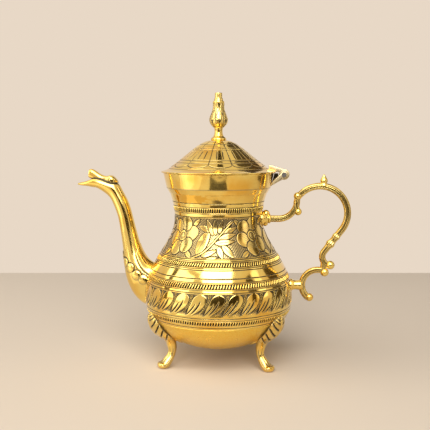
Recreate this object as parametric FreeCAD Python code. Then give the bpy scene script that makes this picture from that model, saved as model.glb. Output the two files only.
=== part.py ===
import FreeCAD, Part

import math
import os

from FreeCAD import Vector

# A footed brass pot: spun pear-shaped body, cast swan-neck spout with a bird's-beak lip, cast scroll
# handle, three cast feet and a domed lid on a hinge. Lengths are in millimetres and Z is up, with the
# floor at Z = 0. The spout points along -X and the handle along +X. The pieces are built round the pot's
# axis and then moved together along X, so that the origin is under the middle of the overall length.

# Spun body
SHEET = 1.0
SOLDER_GAP = 0.05
BOWL_BOTTOM = 14.6
BELLY_RADIUS = 65.5
BELLY_HEIGHT = 60.0
NECK_RADIUS = 38.9
NECK_HEIGHT = 131.0
SHOULDER_POWER = 1.18
NECK_FLARE = 4.1
COLLAR_ABOVE_NECK = 22.0
RIM_RADIUS = 47.6
SEAM_HEIGHT = 44.5
SEAM_LAP = 5.0
SEAM_JOGGLE = 1.8

# Collar round the mouth
COLLAR_HEIGHT = 17.8
COLLAR_BAND = 1.3
COLLAR_SHOULDER = 1.8
COLLAR_EDGE = 0.3
COLLAR_BEVEL = 4.8

# Lid
LID_SHEET = 1.0
LID_GAP = 0.2
BRIM_RADIUS = 50.6
LID_RISE = 27.5
# Shares of the brim radius and of the lid's rise, from the crown to the brim
LID_STATION_SHARES = (
    (0.0, 1.0),
    (0.227, 0.942),
    (0.401, 0.749),
    (0.664, 0.367),
    (0.802, 0.175),
    (0.90, 0.055),
    (1.0, 0.0),
)
LID_INSIDE_POINTS = 12
FLANGE_SHEET = 0.9
FLANGE_DEPTH = 7.5
FLANGE_CLEARANCE = 0.8

# Finial, by radius and height above the crown of the lid
FINIAL_FOOT = ((6.6, 0.9), (5.0, 2.6), (3.7, 5.4), (3.7, 8.4), (4.0, 10.2))
FINIAL_BULB = ((4.0, 10.2), (6.9, 13.6), (7.9, 17.3), (6.6, 21.8), (4.9, 26.6))
FINIAL_VASE = ((4.9, 26.6), (4.8, 29.0), (5.1, 32.4))
FINIAL_CAP = ((4.1, 34.0), (3.2, 36.2))
FINIAL_RISE = 40.7
STUD_RADIUS = 2.0
STUD_FIT = 0.05
STUD_BLIND_DEPTH = 9.0
STUD_TAIL = 1.5
FINIAL_WASHER_RADIUS = 5.5
FINIAL_WASHER_THICKNESS = 1.0
NUT_ACROSS_FLATS = 7.0
NUT_THICKNESS = 3.2

# Hinge
HINGE_REACH = 8.9
PIN_BELOW_RIM = 1.6
PIN_RADIUS = 1.5
PIN_FIT = 0.05
PIN_HEAD_RADIUS = 2.1
PIN_HEAD = 0.8
BARREL_RADIUS = 4.6
BARREL_WIDTH = 6.6
BARREL_SIDE_GAP = 0.2
CHEEK_THICKNESS = 1.6
CHEEK_BOSS_RADIUS = 3.1
CHEEK_ROOT_HEIGHT = 6.0
CHEEK_ROOT_BELOW_PIN = 7.4
CHEEK_LEAN = 30.0
WEB_THICKNESS = 1.6
WEB_CLEARANCE = 0.6
STRAP_THICKNESS = 3.0
STRAP_FOOT_LENGTH = 6.4
STRAP_BLOCK_LENGTH = 2.6
STRAP_BLOCK_RISE = 3.6

# Spout: root on the belly, wall of the casting, port through the body and strainer behind it
SPOUT_ROOT_HEIGHT = 70.0
SPOUT_WALL = 1.8
# Each section: inner edge and outer edge as (out from the belly, up from the root), and half its width
SPOUT_SECTIONS = (
    ((-14.9, 15.5), (-14.9, -19.0), 13.0),
    ((-5.5, 19.1), (2.2, -18.3), 13.0),
    ((0.8, 25.0), (15.8, -2.8), 12.0),
    ((4.4, 31.5), (20.1, 13.0), 10.2),
    ((7.1, 39.5), (21.8, 30.5), 8.4),
    ((10.3, 51.3), (23.9, 47.0), 7.1),
    ((13.2, 63.0), (26.3, 60.6), 6.6),
    ((17.1, 75.2), (30.1, 71.3), 6.5),
    ((22.0, 84.6), (33.9, 78.3), 6.5),
    ((25.7, 90.5), (38.6, 82.4), 6.8),
    ((32.6, 93.3), (44.6, 86.0), 6.6),
)
LOWER_BILL_SECTIONS = (
    ((44.6, 96.4), (49.6, 88.2), 6.0),
    ((50.6, 95.2), (53.6, 89.0), 5.3),
    ((56.2, 93.0), (57.2, 89.7), 4.2),
    ((62.0, 91.6), (62.2, 90.2), 2.2),
)
TROUGH_SECTIONS = (
    ((45.8, 95.0), (48.0, 90.0), 4.1),
    ((52.4, 97.2), (54.2, 91.0), 3.5),
    ((58.0, 97.0), (58.6, 91.5), 2.4),
    ((64.0, 96.6), (64.2, 92.3), 1.1),
)
UPPER_BILL_SECTIONS = (
    ((25.7, 93.3), (26.1, 89.5), 3.0),
    ((30.9, 97.4), (30.7, 90.8), 5.6),
    ((33.6, 97.6), (34.6, 91.4), 5.4),
    ((38.1, 96.7), (39.6, 92.2), 4.6),
    ((44.1, 100.0), (46.5, 94.5), 3.8),
    ((49.3, 102.2), (50.1, 95.8), 2.7),
    ((51.3, 101.6), (51.6, 97.2), 2.0),
)
EYE_OUT = 32.6
EYE_UP = 95.2
EYE_SPREAD = 4.4
EYE_RADIUS = 1.7
PORT_RADIUS = 10.0
STRAINER_RADIUS = 13.0
STRAINER_SHEET = 0.8
STRAINER_HOLE_RADIUS = 1.4
STRAINER_HOLE_PITCH = 4.2
STRAINER_HOLE_RINGS = 2

# Handle: lower root on the belly, upper root just below the narrowest part of the neck. Its places are
# (out, up) from the lower root as drawn for one span between the roots, and grow with the real span.
HANDLE_LOWER_HEIGHT = 71.3
HANDLE_BELOW_NECK = 0.8
HANDLE_DRAWN_SPAN = 58.9
HANDLE_ROD_RADIUS = 3.0
ARM_BEND_OUT = -11.6
ARM_BEND_RADIUS = 16.2
STEM_FOOT = (5.6, 65.7)
STEM_HEAD = (5.1, 78.3)
STEM_RADIUS = 2.4
ARCH_CENTRE = (24.7, 64.1)
ARCH_RADIUS = 23.8
ARCH_START_ANGLE = 144.0
ARCH_END_ANGLE = -38.5
CURL_CENTRE = (35.1, 25.7)
CURL_RADIUS = 7.9
CURL_END_ANGLE = 265.0
LOOP_CENTRE = (23.6, 0.0)
LOOP_RADIUS = 13.9
LOOP_START_ANGLE = 72.0
LOOP_END_ANGLE = 232.0
LINK_ANGLE = 215.0
STUB_RADIUS = 4.3
STUB_FLARE_RADIUS = 5.4
STUB_FLARE_LENGTH = 2.5
FLANGE_RADIUS = 7.0
FLANGE_LENGTH = 7.0
BALLS = (
    ((5.6, 65.3), 3.2),
    ((5.0, 79.0), 3.4),
    ((34.3, 18.3), 3.8),
    ((29.4, 11.8), 3.7),
    ((16.4, -10.9), 3.5),
    ((36.6, 38.7), 1.7),
    ((34.6, 36.1), 1.7),
)
SPIKE_OUT = 27.7
SPIKE_PROFILE = ((3.0, 0.0), (2.5, 2.6), (1.5, 4.2), (1.9, 5.6), (1.2, 7.6))
SPIKE_RISE = 9.4
TENON_RADIUS = 2.4
TENON_FIT = 0.05
TENON_HEAD_RADIUS = 3.6
TENON_HEAD = 1.2
HANDLE_WASHER_RADIUS = 6.0
HANDLE_WASHER_THICKNESS = 1.2

# Feet: a leaf knee on the bowl, a curved leg and a spoon toe
FOOT_ANGLES = {"foot_front_left": -150.0, "foot_front_right": -30.0, "foot_back": 90.0}
# Knee sections: height on the bowl, half width and rise of the crest above the bowl
KNEE_SECTIONS = (
    (51.0, 1.6, 1.0),
    (49.2, 6.0, 2.6),
    (46.5, 9.0, 4.3),
    (41.0, 11.2, 6.2),
    (35.0, 11.2, 6.2),
    (30.0, 9.2, 5.4),
)
# Leg sections: radius of its middle from the foot circle, height, half width and half thickness
FOOT_CIRCLE = 50.0
LEG_SECTIONS = (
    (-4.7, 21.8, 4.8, 4.3),
    (-5.6, 16.0, 3.8, 3.5),
    (-3.8, 10.2, 3.9, 3.4),
    (-0.4, 5.6, 4.8, 4.1),
    (3.6, 2.8, 5.4, 3.6),
    (7.0, 3.4, 2.4, 1.3),
)
# Lean of each leg section's outward line
LEG_ANGLES = (-20.0, 0.0, 24.0, 45.0, 64.0, 80.0)
# Veins are placed by section numbers along the knee and by angles round it
VEIN_COUNT = 4
VEIN_FIRST_INDEX = 1.9
VEIN_INDEX_STEP_RATIO = 0.8
VEIN_INDEX_SWEEP_RATIO = 1.1
VEIN_RADIUS = 0.9
VEIN_CREST_ANGLE = 81.0
VEIN_EDGE_ANGLE = 6.0
KNEE_TOP_RATIO = 1.2
TONGUE_RADIUS = 39.5
TONGUE_HALF_LENGTH = 7.5
TONGUE_HALF_WIDTH = 4.2
TONGUE_THICKNESS = 1.6

# Sizes that follow from the ones above
BOWL_DEPTH = BELLY_HEIGHT - BOWL_BOTTOM
COLLAR_FOOT = NECK_HEIGHT + COLLAR_ABOVE_NECK
RIM_HEIGHT = COLLAR_FOOT + COLLAR_HEIGHT
HANDLE_UPPER_HEIGHT = NECK_HEIGHT - HANDLE_BELOW_NECK
HANDLE_SCALE = (HANDLE_UPPER_HEIGHT - HANDLE_LOWER_HEIGHT) / HANDLE_DRAWN_SPAN
PIN_X = RIM_RADIUS + COLLAR_BAND + HINGE_REACH
PIN_Z = RIM_HEIGHT - PIN_BELOW_RIM
BRIM_HEIGHT = RIM_HEIGHT + LID_GAP + LID_SHEET
CROWN_HEIGHT = BRIM_HEIGHT + LID_RISE
REACH = 400.0
OVAL_POLES = 12
WALL_POINTS_PER_STATION = 8
AXIS_Z = Vector(0, 0, 1)
AXIS_Y = Vector(0, 1, 0)
AXIS_X = Vector(1, 0, 0)


def at(radius, height):
    """A point in the plane of the spout and the handle."""
    return Vector(radius, 0, height)


def body_profile(station):
    """Radius and height on the body's outside: 0 pole of the bowl, 1 belly, 2 neck, 3 collar foot."""
    if station <= 1:
        angle = station * math.pi / 2
        return at(BELLY_RADIUS * math.sin(angle), BELLY_HEIGHT - BOWL_DEPTH * math.cos(angle))
    if station <= 2:
        share = station - 1
        swell = (1 + math.cos(math.pi * share ** SHOULDER_POWER)) / 2
        height = BELLY_HEIGHT + share * (NECK_HEIGHT - BELLY_HEIGHT)
        return at(NECK_RADIUS + (BELLY_RADIUS - NECK_RADIUS) * swell, height)
    share = station - 2
    height = NECK_HEIGHT + share * (COLLAR_FOOT - NECK_HEIGHT)
    return at(NECK_RADIUS + NECK_FLARE * share ** 2, height)


def station_at(height):
    """The station of the body's profile at a height."""
    if height <= BELLY_HEIGHT:
        return 1 - math.asin((BELLY_HEIGHT - height) / BOWL_DEPTH) * 2 / math.pi
    if height <= NECK_HEIGHT:
        return 1 + (height - BELLY_HEIGHT) / (NECK_HEIGHT - BELLY_HEIGHT)
    return 2 + (height - NECK_HEIGHT) / (COLLAR_FOOT - NECK_HEIGHT)


def body_radius(height):
    return body_profile(station_at(height)).x


def body_normal(station):
    """Outward direction of the body's wall, in the plane of the profile."""
    step = 0.001
    along = body_profile(station + step) - body_profile(max(station - step, 0))
    return Vector(along.z, 0, -along.x).normalize()


def wall_point(station, inset):
    return body_profile(station) - body_normal(station) * inset


def curve_through(points):
    curve = Part.BSplineCurve()
    curve.interpolate(points)
    return curve


def wall_edge(first, last, inset):
    """An edge along the body's wall, set in from its outside."""
    steps = max(3, math.ceil((last - first) * WALL_POINTS_PER_STATION))
    points = [wall_point(first + (last - first) * index / steps, inset) for index in range(steps + 1)]
    if first == 0:
        points[0].x = 0
    return curve_through(points).toShape()


def line(start, end):
    return Part.LineSegment(start, end).toShape()


def start_of(edge):
    return edge.valueAt(edge.FirstParameter)


def end_of(edge):
    return edge.valueAt(edge.LastParameter)


def ring_between(outer, inner):
    """Spin the strip between two edges round the axis, closing its two ends with straight lines."""
    edges = [outer, line(end_of(outer), end_of(inner)), inner, line(start_of(inner), start_of(outer))]
    edges = [edge for edge in edges if edge.Length > 1e-6]
    return spin(edges)


def spin(edges):
    face = Part.Face(Part.Wire(Part.__sortEdges__(edges)))
    return face.revolve(Vector(0, 0, 0), AXIS_Z, 360)


def spin_outline(points):
    """Spin a closed straight-sided outline of (radius, height) points round the axis."""
    corners = [at(radius, height) for radius, height in points]
    return Part.Face(Part.makePolygon(corners + corners[:1])).revolve(Vector(0, 0, 0), AXIS_Z, 360)


def body_envelope(grow=0.0, last=3):
    """The solid inside the body's outside, grown by a distance."""
    wall = wall_edge(0, last, -grow)
    top = end_of(wall)
    axis_top = at(0, top.z)
    return spin([wall, line(top, axis_top), line(axis_top, start_of(wall))])


def neck_cone_radius(height):
    """Outside of the neck behind the collar, from the collar's foot to the rim."""
    share = (height - COLLAR_FOOT) / (RIM_HEIGHT - COLLAR_FOOT)
    foot = NECK_RADIUS + NECK_FLARE
    return foot + share * (RIM_RADIUS - foot)


def rod_between(start, end, radius):
    return Part.makeCylinder(radius, (end - start).Length, start, end - start)


def skin(ovals):
    """A smooth solid through a row of ovals, each given by its centre, sideways half and upward half."""
    places = [0.0]
    for first, second in zip(ovals, ovals[1:]):
        places.append(places[-1] + (second[0] - first[0]).Length)
    turn = 2 * math.pi / OVAL_POLES
    spread = 3 / (2 + math.cos(turn))
    rows = []
    for index in range(OVAL_POLES):
        across = spread * math.cos(index * turn)
        upward = spread * math.sin(index * turn)
        row = Part.BSplineCurve()
        row.interpolate(
            Points=[centre + side * across + top * upward for centre, side, top in ovals],
            Parameters=places,
        )
        rows.append(row)
    surface = Part.BSplineSurface()
    surface.buildFromPolesMultsKnots(
        [row.getPoles() for row in rows],
        [1] * (OVAL_POLES + 1),
        rows[0].getMultiplicities(),
        list(range(OVAL_POLES + 1)),
        rows[0].getKnots(),
        True,
        False,
        3,
        3,
    )
    ends = [Part.Face(Part.Wire([surface.vIso(place).toShape()])) for place in (places[0], places[-1])]
    shell = Part.makeShell([surface.toShape()] + ends)
    shell.sewShape()
    solid = Part.makeSolid(shell)
    if solid.Volume < 0:
        solid.reverse()
    return solid


def make_base_bowl():
    """The lower bowl, with a joggled lip that laps inside the upper body."""
    seam = station_at(SEAM_HEIGHT)
    lap = station_at(SEAM_HEIGHT + SEAM_LAP)
    joggle = station_at(SEAM_HEIGHT - SEAM_JOGGLE)
    lip_outside = SHEET + SOLDER_GAP
    lip_inside = lip_outside + SHEET
    bowl = ring_between(wall_edge(0, seam, 0), wall_edge(0, seam, SHEET))
    lip = ring_between(wall_edge(seam, lap, lip_outside), wall_edge(seam, lap, lip_inside))
    corners = (
        wall_point(seam, lip_outside),
        wall_point(seam, lip_inside),
        wall_point(joggle, SHEET),
        wall_point(joggle, SHEET / 2),
        wall_point(seam, SHEET / 2),
    )
    shoulder = spin_outline([(corner.x, corner.z) for corner in corners])
    return bowl.fuse([lip, shoulder]).removeSplitter()


def make_body_shell(port, tenon_holes):
    seam = station_at(SEAM_HEIGHT)
    outer = wall_edge(seam, 3, 0)
    inner = wall_edge(seam, 3, SHEET)
    outer_rim = at(RIM_RADIUS, RIM_HEIGHT)
    inner_rim = at(RIM_RADIUS - SHEET, RIM_HEIGHT)
    shell = spin([
        outer,
        line(end_of(outer), outer_rim),
        line(outer_rim, inner_rim),
        line(inner_rim, end_of(inner)),
        inner,
        line(start_of(inner), start_of(outer)),
    ])
    return shell.cut([port] + tenon_holes)


def make_rim_collar():
    foot = COLLAR_FOOT + COLLAR_EDGE
    bend = COLLAR_FOOT + COLLAR_BEVEL
    return spin_outline([
        (neck_cone_radius(foot) + SOLDER_GAP, foot),
        (neck_cone_radius(foot) + COLLAR_EDGE, foot),
        (neck_cone_radius(bend) + COLLAR_SHOULDER, bend),
        (RIM_RADIUS + COLLAR_BAND, RIM_HEIGHT),
        (RIM_RADIUS + SOLDER_GAP, RIM_HEIGHT),
    ])


def spout_place(out, up):
    return at(-body_radius(SPOUT_ROOT_HEIGHT) - out, SPOUT_ROOT_HEIGHT + up)


def spout_oval(section, inset=0.0):
    """One section of the spout, set in all round by a distance."""
    inner_edge = spout_place(*section[0])
    outer_edge = spout_place(*section[1])
    centre = (inner_edge + outer_edge) * 0.5
    half = inner_edge - centre
    return centre, AXIS_Y * (section[2] - inset), half * (1 - inset / half.Length)


def make_spout(envelope):
    tube = skin([spout_oval(section) for section in SPOUT_SECTIONS + LOWER_BILL_SECTIONS])
    upper_bill = skin([spout_oval(section) for section in UPPER_BILL_SECTIONS])
    eye_centre = spout_place(EYE_OUT, EYE_UP)
    eyes = [Part.makeSphere(EYE_RADIUS, eye_centre + AXIS_Y * side) for side in (-EYE_SPREAD, EYE_SPREAD)]
    bore_ovals = [spout_oval(section, SPOUT_WALL) for section in SPOUT_SECTIONS]
    bore_ovals += [spout_oval(section) for section in TROUGH_SECTIONS]
    return tube.fuse([upper_bill] + eyes).cut([skin(bore_ovals), envelope])


def port_solid():
    centre = at(0, SPOUT_ROOT_HEIGHT)
    return Part.makeCylinder(PORT_RADIUS, REACH, centre, AXIS_X * -1)


def make_spout_strainer():
    """A perforated patch that lies against the inside of the wall, over the port."""
    low = station_at(SPOUT_ROOT_HEIGHT - STRAINER_RADIUS - STRAINER_SHEET)
    high = station_at(SPOUT_ROOT_HEIGHT + STRAINER_RADIUS + STRAINER_SHEET)
    near = SHEET + SOLDER_GAP
    band = ring_between(wall_edge(low, high, near), wall_edge(low, high, near + STRAINER_SHEET))
    start = at(0, SPOUT_ROOT_HEIGHT)
    plate = band.common(Part.makeCylinder(STRAINER_RADIUS, REACH, start, AXIS_X * -1))
    holes = []
    for ring in range(STRAINER_HOLE_RINGS + 1):
        count = max(6 * ring, 1)
        for index in range(count):
            angle = 2 * math.pi * index / count
            across = ring * STRAINER_HOLE_PITCH * math.cos(angle)
            upward = ring * STRAINER_HOLE_PITCH * math.sin(angle)
            centre = start + Vector(0, across, upward)
            holes.append(Part.makeCylinder(STRAINER_HOLE_RADIUS, REACH, centre, AXIS_X * -1))
    return plate.cut(holes)


def handle_place(out, up):
    """A place on the handle, from its lower root."""
    root = at(body_radius(HANDLE_LOWER_HEIGHT), HANDLE_LOWER_HEIGHT)
    return root + at(out, up) * HANDLE_SCALE


def arc_point(centre, radius, degrees):
    angle = math.radians(degrees)
    return handle_place(centre[0] + radius * math.cos(angle), centre[1] + radius * math.sin(angle))


def arc_edge(centre, radius, first, last):
    middle = (first + last) / 2
    points = [arc_point(centre, radius, angle) for angle in (first, middle, last)]
    return Part.Arc(*points).toShape()


def rod_along(edges, radius):
    """A round rod along a path of lines and arcs."""
    path = Part.Wire(edges)
    start = start_of(edges[0])
    direction = edges[0].tangentAt(edges[0].FirstParameter)
    section = Part.Wire([Part.Circle(start, direction, radius).toShape()])
    return path.makePipeShell([section], True, False)


def tenon(height):
    """A tenon along X from inside the body, with the head that is riveted over its washer."""
    wall_inside = body_radius(height) - SHEET
    head_face = wall_inside - HANDLE_WASHER_THICKNESS
    tip = at(head_face - TENON_HEAD, height)
    shank = rod_between(tip, at(wall_inside + 2 * SHEET, height), TENON_RADIUS)
    head = rod_between(tip, at(head_face, height), TENON_HEAD_RADIUS)
    return shank.fuse(head)


def tenon_hole(height):
    return Part.makeCylinder(TENON_RADIUS + TENON_FIT, REACH, at(0, height), AXIS_X)


def make_handle(envelope):
    rod = HANDLE_ROD_RADIUS
    arm_root = at(body_radius(HANDLE_UPPER_HEIGHT) - SHEET / 2, HANDLE_UPPER_HEIGHT)
    bend = arc_edge((ARM_BEND_OUT, HANDLE_DRAWN_SPAN + ARM_BEND_RADIUS), ARM_BEND_RADIUS, -90, 0)
    arm = rod_along([line(arm_root, start_of(bend)), bend], rod)
    stem = rod_between(handle_place(*STEM_FOOT), handle_place(*STEM_HEAD), STEM_RADIUS)
    arch = arc_edge(ARCH_CENTRE, ARCH_RADIUS, ARCH_START_ANGLE, ARCH_END_ANGLE)
    curl_start_angle = 180 + ARCH_END_ANGLE
    curl = arc_edge(CURL_CENTRE, CURL_RADIUS, curl_start_angle, CURL_END_ANGLE)
    main = rod_along([arch, line(end_of(arch), start_of(curl)), curl], rod)
    loop = rod_along([arc_edge(LOOP_CENTRE, LOOP_RADIUS, LOOP_START_ANGLE, LOOP_END_ANGLE)], rod)
    link_start = arc_point(LOOP_CENTRE, LOOP_RADIUS, LOOP_START_ANGLE)
    link = rod_between(link_start, arc_point(CURL_CENTRE, CURL_RADIUS, LINK_ANGLE), rod)
    belly = body_radius(HANDLE_LOWER_HEIGHT)
    stub_end = handle_place(LOOP_CENTRE[0] - LOOP_RADIUS, 0)
    stub = rod_between(at(belly - SHEET / 2, HANDLE_LOWER_HEIGHT), stub_end, STUB_RADIUS)
    flare = Part.makeCone(STUB_FLARE_RADIUS, STUB_RADIUS, STUB_FLARE_LENGTH + SHEET,
                          at(belly - SHEET, HANDLE_LOWER_HEIGHT), AXIS_X)
    flange = Part.makeCone(FLANGE_RADIUS, rod, FLANGE_LENGTH + SHEET, arm_root, AXIS_X)
    balls = [Part.makeSphere(radius, handle_place(*place)) for place, radius in BALLS]
    casting = arm.fuse([stem, main, loop, link, stub, flare, flange, make_spike()] + balls)
    casting = casting.cut(envelope)
    return casting.fuse([tenon(HANDLE_UPPER_HEIGHT), tenon(HANDLE_LOWER_HEIGHT)]).removeSplitter()


def make_spike():
    """The bud on top of the arch."""
    rise = SPIKE_OUT - ARCH_CENTRE[0]
    base = ARCH_CENTRE[1] + math.sqrt(ARCH_RADIUS ** 2 - rise ** 2)
    points = [at(radius, height) for radius, height in SPIKE_PROFILE] + [at(0, SPIKE_RISE)]
    side = curve_through(points).toShape()
    bud = spin([side, line(points[-1], at(0, 0)), line(at(0, 0), points[0])])
    return bud.translated(handle_place(SPIKE_OUT, base) + AXIS_Z * (HANDLE_ROD_RADIUS / 2))


def make_handle_washer(height, hollow):
    """A washer that lies against the inside of the wall, round a tenon."""
    inside = body_radius(height) - SHEET
    start = at(inside - HANDLE_WASHER_THICKNESS, height)
    blank = Part.makeCylinder(HANDLE_WASHER_RADIUS, HANDLE_WASHER_THICKNESS + SHEET, start, AXIS_X)
    bore = Part.makeCylinder(TENON_RADIUS + TENON_FIT, REACH, at(0, height), AXIS_X)
    return blank.common(hollow).cut(bore)


def knee_frame(station):
    """Middle, half width and rise of the knee at a fractional section number."""
    low = min(int(station), len(KNEE_SECTIONS) - 2)
    share = station - low
    first, second = KNEE_SECTIONS[low], KNEE_SECTIONS[low + 1]
    height, width, rise = [a + (b - a) * share for a, b in zip(first, second)]
    place = station_at(height)
    return body_profile(place), body_normal(place), width, rise


def knee_point(station, degrees, side):
    """A point on one side of the knee's skin: 90 degrees is its crest, 0 its edge on the bowl."""
    centre, normal, width, rise = knee_frame(station)
    angle = math.radians(degrees)
    return centre + AXIS_Y * (side * width * math.cos(angle)) + normal * (rise * math.sin(angle))


def knee_oval(index):
    centre, normal, width, rise = knee_frame(index)
    return centre, AXIS_Y * width, normal * rise


def leg_oval(section, degrees):
    out, height, width, thickness = section
    angle = math.radians(degrees)
    outward = Vector(math.cos(angle), 0, math.sin(angle))
    return at(FOOT_CIRCLE + out, height), AXIS_Y * width, outward * thickness


def vein(station, side):
    """A round groove from beside the crest of the knee up to its edge."""
    stops = []
    for share in (0, 0.5, 1):
        angle = VEIN_CREST_ANGLE + (VEIN_EDGE_ANGLE - VEIN_CREST_ANGLE) * share
        stops.append(knee_point(station - VEIN_INDEX_SWEEP_RATIO * share, angle, side))
    path = Part.Arc(*stops).toShape()
    return rod_along([path], VEIN_RADIUS)


def make_foot():
    """A foot that stands out along +X, cut to lie against the bowl and flat on the floor."""
    bowl_side = body_envelope(SOLDER_GAP, KNEE_TOP_RATIO)
    ovals = [knee_oval(index) for index in range(len(KNEE_SECTIONS))]
    ovals += [leg_oval(section, degrees) for section, degrees in zip(LEG_SECTIONS, LEG_ANGLES)]
    casting = skin(ovals).cut(bowl_side)
    tongue_outline = Part.Ellipse(at(TONGUE_RADIUS, 0), TONGUE_HALF_LENGTH, TONGUE_HALF_WIDTH).toShape()
    tongue_blank = Part.Face(Part.Wire([tongue_outline])).extrude(AXIS_Z * SEAM_HEIGHT)
    tongue = tongue_blank.common(body_envelope(TONGUE_THICKNESS, 1)).cut(bowl_side)
    below_floor = Part.makeBox(REACH, REACH, REACH, Vector(-REACH / 2, -REACH / 2, -REACH))
    foot = casting.fuse(tongue).cut(below_floor)
    for index in range(VEIN_COUNT):
        for side in (-1, 1):
            foot = foot.cut(vein(VEIN_FIRST_INDEX + VEIN_INDEX_STEP_RATIO * index, side))
    return foot


def lid_curve():
    points = [at(BRIM_RADIUS * out, BRIM_HEIGHT + LID_RISE * up) for out, up in LID_STATION_SHARES]
    curve = Part.BSplineCurve()
    brim_slope = points[-1] - points[-2]
    curve.interpolate(Points=points, InitialTangent=AXIS_X, FinalTangent=brim_slope)
    return curve


def lid_inside():
    """The lid's inside, one sheet below its outside."""
    curve = lid_curve()
    points = []
    for index in range(LID_INSIDE_POINTS):
        parameter = curve.LastParameter * index / (LID_INSIDE_POINTS - 1)
        tangent = curve.tangent(parameter)[0]
        points.append(curve.value(parameter) + Vector(tangent.z, 0, -tangent.x) * LID_SHEET)
    points[0].x = 0
    points[-1] = at(BRIM_RADIUS, BRIM_HEIGHT - LID_SHEET)
    return curve_through(points)


def lid_inside_height(radius):
    curve = lid_inside()
    wall = line(at(radius, BRIM_HEIGHT - REACH), at(radius, BRIM_HEIGHT + REACH))
    return curve.toShape().distToShape(wall)[1][0][0].z


def lid_envelope():
    """The solid under the lid's outside, down past the rim."""
    outside = lid_curve().toShape()
    low = BRIM_HEIGHT - FLANGE_DEPTH
    return spin([
        outside,
        line(end_of(outside), at(BRIM_RADIUS, low)),
        line(at(BRIM_RADIUS, low), at(0, low)),
        line(at(0, low), start_of(outside)),
    ])


def make_lid_dome():
    dome = ring_between(lid_curve().toShape(), lid_inside().toShape())
    return dome.cut(Part.makeCylinder(STUD_RADIUS + STUD_FIT, REACH, at(0, RIM_HEIGHT), AXIS_Z))


def make_lid_flange():
    """A cone-shaped ring that fits inside the mouth with an even clearance."""
    foot = RIM_HEIGHT - FLANGE_DEPTH
    foot_radius = neck_cone_radius(foot) - SHEET - FLANGE_CLEARANCE
    head_radius = neck_cone_radius(RIM_HEIGHT) - SHEET - FLANGE_CLEARANCE
    inner_head = head_radius - FLANGE_SHEET
    return spin_outline([
        (foot_radius, foot),
        (head_radius, RIM_HEIGHT),
        (head_radius, lid_inside_height(head_radius) - SOLDER_GAP),
        (inner_head, lid_inside_height(inner_head) - SOLDER_GAP),
        (inner_head, RIM_HEIGHT),
        (foot_radius - FLANGE_SHEET, foot),
    ])


def make_finial(lid_solid):
    base = CROWN_HEIGHT
    foot_bottom = at(FINIAL_FOOT[0][0], base - LID_SHEET)
    profile = [line(at(0, base - LID_SHEET), foot_bottom)]
    profile.append(line(foot_bottom, at(FINIAL_FOOT[0][0], base + FINIAL_FOOT[0][1])))
    for stretch in (FINIAL_FOOT, FINIAL_BULB, FINIAL_VASE):
        profile.append(curve_through([at(r, base + h) for r, h in stretch]).toShape())
    cap = [FINIAL_VASE[-1]] + list(FINIAL_CAP) + [(FINIAL_CAP[-1][0], FINIAL_RISE), (0, FINIAL_RISE)]
    for first, second in zip(cap, cap[1:]):
        profile.append(line(at(first[0], base + first[1]), at(second[0], base + second[1])))
    profile.append(line(at(0, base + FINIAL_RISE), at(0, base - LID_SHEET)))
    hole_bottom = at(0, base + STUD_BLIND_DEPTH - REACH)
    stud_hole = Part.makeCylinder(STUD_RADIUS + STUD_FIT, REACH, hole_bottom, AXIS_Z)
    return spin(profile).cut([lid_solid, stud_hole])


def crown_underside():
    return CROWN_HEIGHT - LID_SHEET


def make_finial_washer(dome):
    bottom = crown_underside() - FINIAL_WASHER_THICKNESS
    blank = Part.makeCylinder(FINIAL_WASHER_RADIUS, FINIAL_WASHER_THICKNESS, at(0, bottom), AXIS_Z)
    bore = Part.makeCylinder(STUD_RADIUS + STUD_FIT, REACH, at(0, RIM_HEIGHT), AXIS_Z)
    return blank.cut([bore, dome])


def make_finial_nut():
    top = crown_underside() - FINIAL_WASHER_THICKNESS
    corner = NUT_ACROSS_FLATS / math.sqrt(3)
    corners = [Vector(corner * math.cos(index * math.pi / 3), corner * math.sin(index * math.pi / 3), top)
               for index in range(6)]
    blank = Part.Face(Part.makePolygon(corners + corners[:1])).extrude(Vector(0, 0, -NUT_THICKNESS))
    bore = Part.makeCylinder(STUD_RADIUS + STUD_FIT, REACH, at(0, RIM_HEIGHT), AXIS_Z)
    return blank.cut(bore)


def make_finial_stud():
    low = crown_underside() - FINIAL_WASHER_THICKNESS - NUT_THICKNESS - STUD_TAIL
    return rod_between(at(0, low), at(0, CROWN_HEIGHT + STUD_BLIND_DEPTH), STUD_RADIUS)


def slab(outline, half_width):
    """A plate of even width across Y with the given outline in the plane of the handle."""
    corners = [at(x, z) - AXIS_Y * half_width for x, z in outline]
    return Part.Face(Part.makePolygon(corners + corners[:1])).extrude(AXIS_Y * (2 * half_width))


def across_pin(radius, half_width):
    return Part.makeCylinder(radius, 2 * half_width, Vector(PIN_X, -half_width, PIN_Z), AXIS_Y)


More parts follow.
